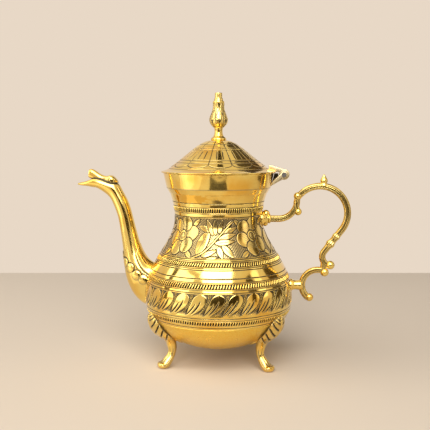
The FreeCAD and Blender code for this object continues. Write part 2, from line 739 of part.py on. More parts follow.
def make_hinge_bracket(collar_solid):
    inner_face = BARREL_WIDTH / 2 + BARREL_SIDE_GAP
    outer_face = inner_face + CHEEK_THICKNESS
    root_top = PIN_Z - CHEEK_ROOT_BELOW_PIN + CHEEK_ROOT_HEIGHT / 2
    root_bottom = root_top - CHEEK_ROOT_HEIGHT
    root_x = neck_cone_radius(root_bottom)
    lean = math.radians(CHEEK_LEAN)
    boss_x = CHEEK_BOSS_RADIUS * math.sin(lean)
    boss_z = CHEEK_BOSS_RADIUS * math.cos(lean)
    arm = [
        (root_x, root_bottom),
        (PIN_X + boss_x, PIN_Z - boss_z),
        (PIN_X - boss_x, PIN_Z + boss_z),
        (root_x, root_top),
    ]
    cheeks = slab(arm, outer_face).fuse(across_pin(CHEEK_BOSS_RADIUS, outer_face))
    slot = Part.makeBox(REACH, 2 * inner_face, REACH, Vector(0, -inner_face, 0))
    slope = Vector(PIN_X - root_x, 0, PIN_Z - root_bottom).normalize()
    web_start = at(root_x, root_bottom)
    web_end = at(PIN_X, PIN_Z) - slope * (BARREL_RADIUS + WEB_CLEARANCE)
    lift = Vector(-slope.z, 0, slope.x) * WEB_THICKNESS
    web_corners = [web_start, web_end, web_end + lift, web_start + lift]
    web = slab([(corner.x, corner.z) for corner in web_corners], inner_face)
    bracket = cheeks.cut(slot).fuse(web)
    return bracket.cut([collar_solid, across_pin(PIN_RADIUS, outer_face)]).removeSplitter()


def make_hinge_pin():
    half = BARREL_WIDTH / 2 + BARREL_SIDE_GAP + CHEEK_THICKNESS
    shank = across_pin(PIN_RADIUS, half + PIN_HEAD)
    heads = [Part.makeCylinder(PIN_HEAD_RADIUS, PIN_HEAD, Vector(PIN_X, start, PIN_Z), AXIS_Y)
             for start in (half, -half - PIN_HEAD)]
    return shank.fuse(heads).removeSplitter()


def make_lid_strap(lid_solid):
    """The lid's half of the hinge: a block on the brim, an arm and the barrel round the pin."""
    half = BARREL_WIDTH / 2
    top = PIN_Z + BARREL_RADIUS
    block_start = BRIM_RADIUS - STRAP_FOOT_LENGTH
    outline = [
        (block_start, top + STRAP_BLOCK_RISE),
        (block_start + STRAP_BLOCK_LENGTH, top + STRAP_BLOCK_RISE),
        (PIN_X, top),
        (PIN_X, top - STRAP_THICKNESS),
        (BRIM_RADIUS, BRIM_HEIGHT - LID_SHEET / 2),
        (block_start, BRIM_HEIGHT - LID_SHEET / 2),
    ]
    strap = slab(outline, half).fuse(across_pin(BARREL_RADIUS, half))
    return strap.cut([lid_solid, across_pin(PIN_RADIUS + PIN_FIT, half)]).removeSplitter()


def build():
    envelope = body_envelope(SOLDER_GAP)
    hollow = body_envelope(-SHEET - SOLDER_GAP)
    collar_solid = spin_outline([
        (0, COLLAR_FOOT),
        (neck_cone_radius(COLLAR_FOOT), COLLAR_FOOT),
        (neck_cone_radius(COLLAR_FOOT + COLLAR_BEVEL) + COLLAR_SHOULDER, COLLAR_FOOT + COLLAR_BEVEL),
        (RIM_RADIUS + COLLAR_BAND, RIM_HEIGHT),
        (0, RIM_HEIGHT),
    ])
    lid_solid = lid_envelope()
    tenon_heights = (HANDLE_UPPER_HEIGHT, HANDLE_LOWER_HEIGHT)
    nodes = {
        "body_shell": make_body_shell(port_solid(), [tenon_hole(height) for height in tenon_heights]),
        "base_bowl": make_base_bowl(),
        "rim_collar": make_rim_collar(),
        "spout": make_spout(envelope),
        "spout_strainer": make_spout_strainer(),
        "handle": make_handle(envelope),
        "upper_handle_washer": make_handle_washer(HANDLE_UPPER_HEIGHT, hollow),
        "lower_handle_washer": make_handle_washer(HANDLE_LOWER_HEIGHT, hollow),
        "hinge_bracket": make_hinge_bracket(collar_solid),
        "hinge_pin": make_hinge_pin(),
        "lid_dome": make_lid_dome(),
        "lid_flange": make_lid_flange(),
        "lid_hinge_strap": make_lid_strap(lid_solid),
        "finial": make_finial(lid_solid),
        "finial_stud": make_finial_stud(),
        "finial_nut": make_finial_nut(),
    }
    nodes["finial_washer"] = make_finial_washer(nodes["lid_dome"])
    foot = make_foot()
    for name, angle in FOOT_ANGLES.items():
        nodes[name] = foot.rotated(Vector(0, 0, 0), AXIS_Z, angle)
    return nodes


def main():
    os.makedirs("parts", exist_ok=True)
    nodes = build()
    spout_tip = -spout_place(*LOWER_BILL_SECTIONS[-1][1]).x
    handle_back = handle_place(ARCH_CENTRE[0] + ARCH_RADIUS + HANDLE_ROD_RADIUS, 0).x
    shift = Vector((spout_tip - handle_back) / 2, 0, 0)
    for name, shape in nodes.items():
        shape.translated(shift).exportStep(os.path.join("parts", name + ".step"))
        print(name, len(shape.Solids), shape.isValid(), round(shape.Volume, 1))


if __name__ == "__main__":
    main()
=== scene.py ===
import math

import bpy
import numpy as np
from mathutils import Matrix, Vector
from mathutils.kdtree import KDTree


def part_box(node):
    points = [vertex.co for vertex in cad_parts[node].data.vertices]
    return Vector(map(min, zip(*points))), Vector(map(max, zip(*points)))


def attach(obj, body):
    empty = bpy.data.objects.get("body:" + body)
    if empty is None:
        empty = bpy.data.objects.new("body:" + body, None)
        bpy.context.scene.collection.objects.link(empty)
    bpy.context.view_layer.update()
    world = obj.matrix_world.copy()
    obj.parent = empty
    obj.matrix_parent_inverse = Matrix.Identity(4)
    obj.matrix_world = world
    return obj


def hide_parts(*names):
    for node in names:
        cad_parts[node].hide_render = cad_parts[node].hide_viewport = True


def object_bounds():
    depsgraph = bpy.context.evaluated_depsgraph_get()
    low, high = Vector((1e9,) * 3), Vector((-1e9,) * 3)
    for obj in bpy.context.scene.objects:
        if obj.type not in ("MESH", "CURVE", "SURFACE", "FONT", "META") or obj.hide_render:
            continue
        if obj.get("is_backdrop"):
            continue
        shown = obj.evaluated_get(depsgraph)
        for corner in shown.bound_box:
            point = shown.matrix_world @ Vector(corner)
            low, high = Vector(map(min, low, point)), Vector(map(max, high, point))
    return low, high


bl_info = {
    "name": "Engraved brass pot",
    "version": (1, 0, 0),
    "blender": (4, 5, 0),
    "location": "3D View > Sidebar > Brass Pot",
    "description": "Dresses the pot's solids with chased bands, carved castings, brass finishes and a studio",
    "category": "Add Mesh",
}

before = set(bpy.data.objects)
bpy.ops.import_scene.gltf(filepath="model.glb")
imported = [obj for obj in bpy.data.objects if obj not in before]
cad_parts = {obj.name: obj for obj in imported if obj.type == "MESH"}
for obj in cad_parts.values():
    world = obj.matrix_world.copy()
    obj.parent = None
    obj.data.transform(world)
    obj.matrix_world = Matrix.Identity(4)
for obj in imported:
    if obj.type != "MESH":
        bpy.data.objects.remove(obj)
CAD_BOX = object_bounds()
BOWL_LOW, BOWL_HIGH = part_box("base_bowl")
AXIS_X = (BOWL_LOW[0] + BOWL_HIGH[0]) / 2
MM = 0.001
FULL_TURN = 2 * math.pi

# The solids' own sizes, in millimetres round the pot's axis with the floor at zero
SHEET = 1.0
BOWL_BOTTOM = 14.6
BELLY_RADIUS = 65.5
BELLY_HEIGHT = 60.0
BOWL_DEPTH = BELLY_HEIGHT - BOWL_BOTTOM
NECK_RADIUS = 38.9
NECK_HEIGHT = 131.0
SHOULDER_POWER = 1.18
NECK_FLARE = 4.1
COLLAR_FOOT = 153.0
COLLAR_BAND = 1.3
COLLAR_SHOULDER = 1.8
COLLAR_BEVEL = 4.8
RIM_HEIGHT = 170.8
RIM_RADIUS = 47.6
SEAM_HEIGHT = 44.5
SEAM_LAP = 5.0
LID_SHEET = 1.0
BRIM_RADIUS = 50.6
BRIM_HEIGHT = 172.0
LID_RISE = 27.5
CROWN_HEIGHT = BRIM_HEIGHT + LID_RISE
LID_STATIONS = (
    (0.0, 1.0),
    (0.227, 0.942),
    (0.401, 0.749),
    (0.664, 0.367),
    (0.802, 0.175),
    (0.90, 0.055),
    (1.0, 0.0),
)
PIN_X = 57.8
PIN_Z = 169.2

# Where the pot faces in the picture: patterns are counted from this direction, to the right
FACING = math.radians(6.0)


def smooth(low, high, value):
    """Rises softly from 0 at low to 1 at high."""
    share = np.clip((value - low) / (high - low), 0.0, 1.0)
    return share * share * (3 - 2 * share)


def span(value, rise, fall):
    """1 between a soft rise and a soft fall, each given as a pair of places."""
    return smooth(*rise, value) * (1 - smooth(*fall, value))


def stroke(distance, half_width):
    """A soft line: 1 on it, 0 beyond its half width."""
    return 1 - smooth(0.35 * half_width, half_width, np.abs(distance))


def spline(places, values, samples, start=None, end=None):
    """A smooth curve through values at places, with optional slopes at its ends."""
    places = np.asarray(places, float)
    values = np.asarray(values, float)
    count = len(places)
    gaps = np.diff(places)
    slopes = np.diff(values, axis=0) / gaps[:, None]
    matrix = np.zeros((count, count))
    right = np.zeros_like(values)
    for row in range(1, count - 1):
        matrix[row, row - 1] = gaps[row]
        matrix[row, row] = 2 * (gaps[row - 1] + gaps[row])
        matrix[row, row + 1] = gaps[row - 1]
        right[row] = 3 * (gaps[row] * slopes[row - 1] + gaps[row - 1] * slopes[row])
    for row, beside, chord, slope in ((0, 1, slopes[0], start), (-1, -2, slopes[-1], end)):
        if slope is None:
            matrix[row, row] = 2
            matrix[row, beside] = 1
            right[row] = 3 * chord
        else:
            matrix[row, row] = 1
            right[row] = slope
    tangents = np.linalg.solve(matrix, right)
    samples = np.asarray(samples, float)
    cell = np.clip(np.searchsorted(places, samples, side="right") - 1, 0, count - 2)
    width = gaps[cell][:, None]
    share = ((samples - places[cell]) / gaps[cell])[:, None]
    square = share ** 2
    cube = share ** 3
    return (
        values[cell] * (2 * cube - 3 * square + 1)
        + tangents[cell] * width * (cube - 2 * square + share)
        + values[cell + 1] * (3 * square - 2 * cube)
        + tangents[cell + 1] * width * (cube - square)
    )


def chord_places(points):
    """Distances along a row of points."""
    steps = np.linalg.norm(np.diff(np.asarray(points, float), axis=0), axis=1)
    return np.concatenate([[0.0], np.cumsum(steps)])


def curve(points, count):
    """Evenly spaced places on a smooth curve through points."""
    places = chord_places(points)
    return spline(places, points, np.linspace(0, places[-1], count))


def wall_radius(height):
    """Outside radius of the body at a height."""
    height = np.asarray(height, float)
    bowl = BELLY_RADIUS * np.sqrt(np.clip(1 - ((BELLY_HEIGHT - height) / BOWL_DEPTH) ** 2, 0, 1))
    share = np.clip((height - BELLY_HEIGHT) / (NECK_HEIGHT - BELLY_HEIGHT), 0, 1)
    swell = (1 + np.cos(math.pi * share ** SHOULDER_POWER)) / 2
    shoulder = NECK_RADIUS + (BELLY_RADIUS - NECK_RADIUS) * swell
    rise = np.clip((height - NECK_HEIGHT) / (COLLAR_FOOT - NECK_HEIGHT), 0, 1)
    neck = NECK_RADIUS + NECK_FLARE * rise ** 2
    foot = NECK_RADIUS + NECK_FLARE
    mouth = foot + (height - COLLAR_FOOT) / (RIM_HEIGHT - COLLAR_FOOT) * (RIM_RADIUS - foot)
    upper = np.where(height <= COLLAR_FOOT, neck, mouth)
    return np.where(height <= BELLY_HEIGHT, bowl, np.where(height <= NECK_HEIGHT, shoulder, upper))


def wall_at(height):
    """The body's radius at one height, as a plain number."""
    return float(wall_radius(height))


def wall_normal(height):
    """Outward and upward parts of the wall's own direction at a height."""
    step = 0.02
    slope = (wall_radius(height + step) - wall_radius(height - step)) / (2 * step)
    length = np.sqrt(1 + slope ** 2)
    return 1 / length, -slope / length


def around(count):
    """Angles of evenly spaced places round a ring."""
    return np.arange(count) * (FULL_TURN / count)


def view_angle(angle):
    """Angle from the direction the pot faces, growing to the right."""
    return (angle + math.pi / 2 - FACING + math.pi) % FULL_TURN - math.pi


def wrap(value):
    """The part of a repeat count that is left, from -0.5 to 0.5."""
    return value - np.round(value)


def shell(grid, patina=None, ring=False):
    """Points, faces, and patina and painted shade of a skin over rows of points, with capped ends or closed
    to a ring.
    """
    rows, columns = grid.shape[:2]
    index = np.arange(rows * columns).reshape(rows, columns)
    beside = np.roll(index, -1, axis=1)
    quads = np.stack([index, beside, np.roll(beside, -1, axis=0), np.roll(index, -1, axis=0)], axis=-1)
    points = grid.reshape(-1, 3)
    shade = np.zeros(rows * columns) if patina is None else patina.reshape(-1)
    if ring:
        return points, quads.reshape(-1, 4).tolist(), shade
    faces = quads[:-1].reshape(-1, 4).tolist()
    for row, first, second in ((0, beside[0], index[0]), (-1, index[-1], beside[-1])):
        faces += [(len(points), a, b) for a, b in zip(first.tolist(), second.tolist())]
        points = np.vstack([points, grid[row].mean(axis=0)])
        shade = np.append(shade, shade[index[row]].mean())
    return points, faces, shade


def spin(profile, columns, offsets=(0.0, 0.0)):
    """Rows of points round the pot's axis from radius and height pairs."""
    angle = around(columns)
    profile = np.asarray(profile, float)
    radius = np.repeat(profile[:, :1], columns, axis=1) + offsets[0]
    height = np.repeat(profile[:, 1:2], columns, axis=1) + offsets[1]
    return np.stack([radius * np.cos(angle), radius * np.sin(angle), height], axis=-1)


def place_points(points):
    """Points in millimetres round the pot's axis, moved to their place in metres."""
    places = np.asarray(points, float) * MM
    places[:, 0] += AXIS_X
    return places.tolist()


def to_mesh(name, shells):
    """One mesh from several skins given in millimetres round the pot's axis."""
    faces = []
    count = 0
    for points, part_faces, shade in shells:
        faces += [tuple(corner + count for corner in face) for face in part_faces]
        count += len(points)
    mesh = bpy.data.meshes.new(name)
    mesh.from_pydata(place_points(np.vstack([part[0] for part in shells])), [], faces)
    mesh.polygons.foreach_set("use_smooth", [True] * len(mesh.polygons))
    patina = mesh.attributes.new("patina", "FLOAT", "POINT")
    patina.data.foreach_set("value", np.concatenate([part[2] for part in shells]).astype(np.float32))
    mesh.update()
    return mesh


def link_object(mesh):
    """An object at the origin that shows a mesh."""
    piece = bpy.data.objects.new(mesh.name, mesh)
    bpy.context.scene.collection.objects.link(piece)
    return piece


def claim(piece, material, body, slot, *nodes):
    """Give a piece its finish and the body it moves with, and hide the solids it stands for."""
    piece.data.materials.clear()
    piece.data.materials.append(material)
    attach(piece, body)
    if nodes:
        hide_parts(*nodes)
    return piece


def add_piece(mesh, material, body, slot, *nodes):
    """Put a finished mesh in the scene."""
    return claim(link_object(mesh), material, body, slot, *nodes)


def settle(piece):
    """Turn a piece's modifiers into a plain mesh."""
    graph = bpy.context.evaluated_depsgraph_get()
    mesh = bpy.data.meshes.new_from_object(piece.evaluated_get(graph))
    piece.modifiers.clear()
    piece.data = mesh
    return mesh


def add_node(tree, kind, inputs=None, **settings):
    """A node with its settings, and its inputs as plain values or as links from other nodes."""
    node = tree.nodes.new(kind)
    for key, value in settings.items():
        setattr(node, key, value)
    for key, value in (inputs or {}).items():
        if isinstance(value, bpy.types.NodeSocket):
            tree.links.new(value, node.inputs[key])
        else:
            node.inputs[key].default_value = value
    return node


# Finishes

# Fine grain and its scale, most amber drift and its scale, slow dents, and lacquer over the metal
BRASS_STYLES = {
    "polished_brass": (0.02, 260.0, 0.85, 34.0, 0.22, 0.45),
    "satin_brass": (0.9, 750.0, 0.6, 900.0, 0.05, 0.0),
    "carved_brass": (0.05, 260.0, 0.5, 60.0, 0.12, 0.45),
    "pale_brass": (0.08, 260.0, 0.4, 60.0, 0.12, 0.45),
}
# Scale and detail of each noise
DRIFT_DETAIL = 3.0
SPECKLE = (900.0, 2.0)
WEAR = (140.0, 5.0)
GRAIN_DETAIL = 3.0
DENTS = (70.0, 1.0)
TURNING = (700.0, 4.0)
DRIFT_SPAN = (0.47, 0.66)
NOISE_SPAN = (0.3, 0.7)
SPECKLE_RANGE = (0.85, 1.1)
GLOSS_RANGE = (0.75, 1.3)
# Patina and painted shade at which the grey tone and the dark tone begin and are full
GREY_SPAN = (0.0, 0.45)
DARK_SPAN = (0.3, 0.95)
PATINA_ROUGHNESS = 0.62
LACQUER_ROUGHNESS = 0.06
GRAIN_DEPTH = 0.0002
DENT_DEPTH = 0.002
STEEL_ROUGHNESS = 0.42
STEEL_SHADE = 0.7


def new_material(name):
    """An empty material, its tree and the coordinates its noises use."""
    material = bpy.data.materials.new(name)
    material.use_nodes = True
    tree = material.node_tree
    tree.nodes.clear()
    return material, tree, add_node(tree, "ShaderNodeTexCoord").outputs["Object"]


def noise(tree, place, scale, detail):
    """A soft random pattern over the piece."""
    sockets = {"Vector": place, "Scale": scale, "Detail": detail}
    return add_node(tree, "ShaderNodeTexNoise", sockets).outputs["Fac"]


def rescale(tree, value, start, end, low=0.0, high=1.0):
    """A value taken from one range to another."""
    sockets = {"Value": value, "From Min": start, "From Max": end, "To Min": low, "To Max": high}
    return add_node(tree, "ShaderNodeMapRange", sockets).outputs["Result"]


def blend(tree, kind, factor, first, second):
    """A mix of two numbers or two colours."""
    sockets = {"Factor": factor, "A": first, "B": second}
    return add_node(tree, "ShaderNodeMix", sockets, data_type=kind).outputs["Result"]


def bump(tree, strength, distance, height, **sockets):
    """Fine relief that only the light sees."""
    sockets = {"Strength": strength, "Distance": distance, "Height": height, **sockets}
    return add_node(tree, "ShaderNodeBump", sockets).outputs["Normal"]


def close_metal(tree, sockets):
    """The metal shader and the tree's way out."""
    shader = add_node(tree, "ShaderNodeBsdfPrincipled", {"Metallic": 1.0, **sockets})
    add_node(tree, "ShaderNodeOutputMaterial", {"Surface": shader.outputs["BSDF"]})


def brass_finish(name, colour, warm, roughness):
    """Brass with soft colour drift, fine wear in its gloss, and dark patina and painted shade where its
    points ask for it.
    """
    grain, grain_scale, mottle, drift_scale, dents, lacquer = BRASS_STYLES[name]
    look = bpy.context.scene.pot_finish
    material, tree, place = new_material(name)
    # The patina attribute carries real patina and also painted shade on the bowl, feet, bill and hinge
    patina = add_node(tree, "ShaderNodeAttribute", attribute_name="patina").outputs["Fac"]
    drift = rescale(tree, noise(tree, place, drift_scale, DRIFT_DETAIL), *DRIFT_SPAN, 0.0, mottle)
    amber = rescale(tree, patina, 0.0, -1.0)
    warmer = add_node(tree, "ShaderNodeMath", {0: drift, 1: amber}, operation="MAXIMUM")
    tone = blend(tree, "RGBA", warmer.outputs["Value"], (*colour, 1), (*warm, 1))
    uneven = rescale(tree, noise(tree, place, *SPECKLE), *NOISE_SPAN, *SPECKLE_RANGE)
    darker = add_node(tree, "ShaderNodeMath", {0: patina, 1: uneven}, operation="MULTIPLY", use_clamp=True)
    dark = darker.outputs["Value"]
    for stain, reach in ((look.tarnish_and_shade_tone, GREY_SPAN), (look.patina, DARK_SPAN)):
        tone = blend(tree, "RGBA", rescale(tree, dark, *reach), tone, (*stain, 1))
    gloss = rescale(
        tree, noise(tree, place, *WEAR), *NOISE_SPAN, roughness * GLOSS_RANGE[0], roughness * GLOSS_RANGE[1]
    )
    skin = bump(tree, grain, GRAIN_DEPTH, noise(tree, place, grain_scale, GRAIN_DETAIL))
    close_metal(tree, {
        "Base Color": tone,
        "Roughness": blend(tree, "FLOAT", dark, gloss, PATINA_ROUGHNESS),
        "Coat Weight": rescale(tree, dark, 0.0, 1.0, lacquer, 0.0) if lacquer else 0.0,
        "Coat Roughness": LACQUER_ROUGHNESS,
        "Normal": bump(tree, dents, DENT_DEPTH, noise(tree, place, *DENTS), Normal=skin),
    })
    return material


def steel_finish(name, colour):
    """Dull steel with fine turning marks."""
    material, tree, place = new_material(name)
    shaded = (*[channel * STEEL_SHADE for channel in colour], 1)
    tone = blend(tree, "RGBA", noise(tree, place, *TURNING), shaded, (*colour, 1))
    close_metal(tree, {"Base Color": tone, "Roughness": STEEL_ROUGHNESS})
    return material


def finish(name):
    """A finish by name, made once from the colours in the sidebar."""
    if name in bpy.data.materials:
        return bpy.data.materials[name]
    look = bpy.context.scene.pot_finish
    if name == "dull_steel":
        return steel_finish(name, look.steel)
    tones = {
        "polished_brass": (look.polished, look.amber, look.polish),
        "satin_brass": (look.satin, look.amber, look.satin_roughness),
        "carved_brass": (look.cast, look.amber, look.cast_roughness),
        "pale_brass": (look.pale, look.satin, look.satin_roughness),
    }
    return brass_finish(name, *tones[name])


# Chased patterns on the body: each gives how far the wall stands out, in millimetres, and its patina

# Chased lines round the wall: height and half width
WALL_LINES = (
    (146.0, 0.42),
    (142.6, 0.34),
    (137.4, 0.30),
    (134.4, 0.50),
    (101.1, 0.45),
    (99.7, 0.34),
    (94.3, 0.34),
    (92.9, 0.42),
    (86.5, 0.48),
    (83.4, 0.34),
    (77.6, 0.34),
    (75.5, 0.40),
    (54.6, 0.40),
    (52.6, 0.30),
    (46.4, 0.38),
)
# Rows of chisel marks: height of the middle, length of a mark, how many, and lean in degrees
DASH_ROWS = (
    (140.0, 3.7, 128, -7.0),
    (97.0, 3.9, 154, -20.0),
    (80.5, 4.4, 166, -20.0),
    (50.0, 2.9, 186, -15.0),
)
# Channels that the marks stand in: height of the middle and half height
CHANNELS = tuple((row[0], row[1] / 2) for row in DASH_ROWS)
CHANNEL_SHADE = 0.97
# Amber stains on the neck: turn from the front, height, half sizes, and strength
STAINS = (
    (-0.62, 150.0, 0.46, 4.4, 0.9),
    (0.75, 149.0, 0.22, 3.0, 0.4),
    (2.4, 149.5, 0.5, 4.0, 0.7),
)


def chase_lines(height, depth):
    """Lines cut round the wall."""
    cut = np.zeros_like(height)
    for middle, half_width in WALL_LINES:
        cut = np.maximum(cut, stroke(height - middle, half_width))
    return -depth * cut, cut


def chase_channels(height, depth):
    """Sunk channels that the rows of chisel marks stand in."""
    sunk = np.zeros_like(height)
    for middle, half_height in CHANNELS:
        sunk = np.maximum(sunk, 1 - smooth(-0.25, 0.1, np.abs(height - middle) - half_height))
    return -depth * sunk, sunk


def amber_stain(angle, height):
    """Share of amber stain on the polished neck, with ragged edges."""
    amount = np.zeros_like(height)
    for turn, middle, half_turn, half_height, strength in STAINS:
        aside = wrap((view_angle(angle) - turn) / FULL_TURN) * FULL_TURN / half_turn
        above = (height - middle) / half_height
        ragged = 0.30 * np.sin(2.3 * height + 9 * aside) + 0.22 * np.sin(23 * aside - 1.1 * height)
        amount = np.maximum(amount, strength * smooth(0.0, 0.22, 1 - aside ** 2 - above ** 2 + ragged))
    return amount


def plain_relief(angle, height):
    """Polished wall with its lines and channels."""
    sizes = bpy.context.scene.pot_sizes
    line_cut, line_dark = chase_lines(height, sizes.line_depth / MM)
    channel_cut, channel_dark = chase_channels(height, sizes.channel_depth / MM)
    dark = np.maximum(line_dark, channel_dark * CHANNEL_SHADE)
    return np.minimum(line_cut, channel_cut), np.where(dark > 0.02, dark, -amber_stain(angle, height))


def leaf_shape(x, y, start, end, half_width):
    """Distance past a leaf's edge, place across its vein and share along it."""
    run = np.subtract(end, start)
    length = math.hypot(*run)
    along = ((x - start[0]) * run[0] + (y - start[1]) * run[1]) / length ** 2
    across = (-(x - start[0]) * run[1] + (y - start[1]) * run[0]) / length
    inside = np.clip(along, 0, 1)
    width = half_width * np.sin(math.pi * inside ** 0.8) ** 0.75
    return np.abs(across) - width + np.abs(along - inside) * length, across, along


def stem_gap(points, x, y):
    """Distance from a smooth stem through points."""
    stem = curve(points, 40)
    nearest = np.full_like(x, np.inf)
    for first, second in zip(stem, stem[1:]):
        run = second - first
        share = np.clip(((x - first[0]) * run[0] + (y - first[1]) * run[1]) / (run @ run), 0, 1)
        nearest = np.minimum(nearest, np.hypot(x - first[0] - share * run[0], y - first[1] - share * run[1]))
    return nearest


FLOWER_BAND = (101.8, 133.7)
FLOWER_REPEATS = 4
# Turn of the first flower from the front, in repeats
FLOWER_PHASE = 42.5 / 90.0
# Leaves of the spray between two flowers: root, tip and half width, in millimetres from its middle
SPRAY_LEAVES = (
    ((-17.5, -13.0), (-5.0, 8.0), 4.4),
    ((-14.5, 9.5), (-3.4, 4.6), 2.6),
    ((-3.0, 2.0), (-8.2, 15.4), 2.3),
    ((-1.0, 2.2), (-1.6, 15.4), 2.1),
    ((2.0, 3.6), (5.2, 15.6), 2.1),
    ((7.6, 7.4), (14.5, 15.2), 1.8),
    ((4.6, 3.2), (17.5, 8.6), 2.4),
    ((1.6, -0.6), (17.0, 3.2), 2.5),
    ((-1.6, -4.0), (16.2, -2.6), 2.5),
    ((1.4, -6.4), (5.4, -16.2), 2.6),
    ((4.8, -5.6), (15.4, -15.6), 2.8),
    ((-13.0, -14.4), (0.4, -9.2), 2.2),
    ((-9.0, -16.2), (2.0, -14.4), 1.3),
)
SPRAY_STEM = ((-22.0, -16.2), (-12.0, -11.6), (-3.0, -3.8), (5.0, 4.6), (14.0, 13.6))
STEM_HALF_WIDTH = 0.75
# Small leaves that fill the corners round a flower
FLOWER_LEAVES = (
    ((10.0, 9.0), (16.5, 15.5), 2.0),
    ((-10.0, 9.0), (-16.5, 15.5), 2.0),
    ((9.0, -11.0), (17.5, -15.8), 2.0),
    ((-9.0, -11.0), (-17.5, -15.8), 2.0),
)
FLOWER_LIFT = 0.9
FLOWER_PETALS = 6
PETAL_REACH = 10.2
PETAL_RADIUS = 6.2
PETAL_SHADE = 0.09
RAY_PITCH = 1.25
CENTRE_RADIUS = 4.6
CENTRE_RING = 2.6
SEED_PITCH = 3.4
# Hatching of the ground: slope, and pitch of its two sets of lines
HATCH_SLOPE = 0.8
HATCH_PITCHES = (1.5, 1.9)
GROUND_SHADE = 0.32
HATCH_SHADE = 0.58
OUTLINE_SHADE = 0.95
OUTLINE_WIDTH = 0.58
OUTLINE_CUT = 0.12


def spray_layers(x, y):
    """Leaves and stem of a spray, each as distance past its edge, height and patina."""
    for start, end, half_width in SPRAY_LEAVES:
        distance, across, along = leaf_shape(x, y, start, end, half_width)
        vein = stroke(across, 0.36) * span(along, (0.02, 0.12), (0.78, 0.95)) * 0.8
        barbs = stroke(wrap(along * 9 - np.abs(across) * 0.7), 0.16) * smooth(0.35, 0.9, np.abs(across)) * 0.4
        yield distance, -0.05 * (across / half_width) ** 2, np.maximum(vein, barbs)
    gap = stem_gap(SPRAY_STEM, x, y)
    yield gap - STEM_HALF_WIDTH, 0.05 - 0.05 * gap, np.zeros_like(gap)


def flower_layers(x, y):
    """Corner leaves, petals and centre of a flower, each as distance past its edge, height and patina."""
    for start, end, half_width in FLOWER_LEAVES:
        distance, across = leaf_shape(x, y, start, end, half_width)[:2]
        yield distance, -0.04 * (across / half_width) ** 2, stroke(across, 0.28) * 0.7
    y = y - FLOWER_LIFT
    for petal in range(FLOWER_PETALS):
        lean = FULL_TURN * (petal + 0.25) / FLOWER_PETALS
        petal_x = x - PETAL_REACH * math.cos(lean)
        petal_y = y - PETAL_REACH * math.sin(lean)
        across = petal_x * math.sin(lean) - petal_y * math.cos(lean)
        toward = -(petal_x * math.cos(lean) + petal_y * math.sin(lean))
        rays = stroke(wrap(across / RAY_PITCH) * RAY_PITCH, 0.26) * smooth(-0.6, 1.6, toward) * 0.55
        dome = 0.05 - 0.0016 * (petal_x ** 2 + petal_y ** 2)
        yield np.hypot(petal_x, petal_y) - PETAL_RADIUS, dome, np.maximum(rays, PETAL_SHADE)
    reach = np.hypot(x, y)
    seeds = 0.5 + 0.5 * np.sin(x * SEED_PITCH) * np.sin(y * SEED_PITCH)
    ring = np.maximum(stroke(reach - CENTRE_RING, 0.4), (reach < 2.4) * smooth(0.5, 0.75, seeds) * 0.75)
    yield reach - CENTRE_RADIUS, 0.12 - 0.10 * stroke(reach - CENTRE_RING, 0.5), ring


def flower_relief(angle, height):
    """Big round-petalled flowers and leafy sprays by turns, raised on a hatched ground."""
    sizes = bpy.context.scene.pot_sizes
    low, high = FLOWER_BAND
    turn = view_angle(angle) * FLOWER_REPEATS / FULL_TURN - FLOWER_PHASE
    unit = FULL_TURN / FLOWER_REPEATS * wall_radius(height)
    x = wrap(turn) * unit
    y = height - (low + high) / 2
    hatch = 0.5 + 0.5 * np.sin(FULL_TURN * (x * HATCH_SLOPE + y) / HATCH_PITCHES[0])
    hatch = hatch * (0.5 + 0.5 * np.sin(FULL_TURN * (x * HATCH_SLOPE - y) / HATCH_PITCHES[1]))
    level = -sizes.relief_depth / MM * np.ones_like(height)
    dark = GROUND_SHADE + HATCH_SHADE * smooth(0.10, 0.42, hatch)
    for distance, dome, shade in (*spray_layers(wrap(turn - 0.5) * unit, y), *flower_layers(x, y)):
        body = 1 - smooth(-0.22, 0.05, distance)
        edge = stroke(distance - 0.05, OUTLINE_WIDTH)
        level = level * (1 - body) + body * dome - OUTLINE_CUT * edge
        dark = np.maximum(dark * (1 - body) + body * shade, edge * OUTLINE_SHADE)
    in_band = span(height, (low - 0.2, low + 0.3), (high - 0.3, high + 0.2))
    line_cut, line_dark = chase_lines(height, sizes.line_depth / MM)
    return level * in_band + line_cut * (1 - in_band), np.maximum(dark * in_band, line_dark)


LEAF_BAND = (55.4, 74.8)
LEAF_REPEATS = 27
LEAF_LEAN = 0.80
# Two cuts in each leaf: place across it, share of the way up where it begins and ends, and half width
LEAF_CUTS = ((-0.16, 0.04, 0.66, 0.070), (0.07, 0.10, 0.76, 0.080))
LEAF_CUT_DEPTH = 0.30
LEAF_DOME = 0.13
STRIP_SHADE = 0.80
# Half width of a leaf at its foot and how much wider it grows, and where its round tip begins and its length
LEAF_WIDTHS = (0.20, 0.23)
LEAF_TIP = (0.70, 0.29)


def leaf_share(height):
    """Share of the way up the band of leaves."""
    return (height - LEAF_BAND[0]) / (LEAF_BAND[1] - LEAF_BAND[0])


def leaf_lean(share):
    """How far a leaf's middle has moved round at a share of the way up, in repeats."""
    return LEAF_LEAN * (2 * share - share ** 2) - LEAF_LEAN


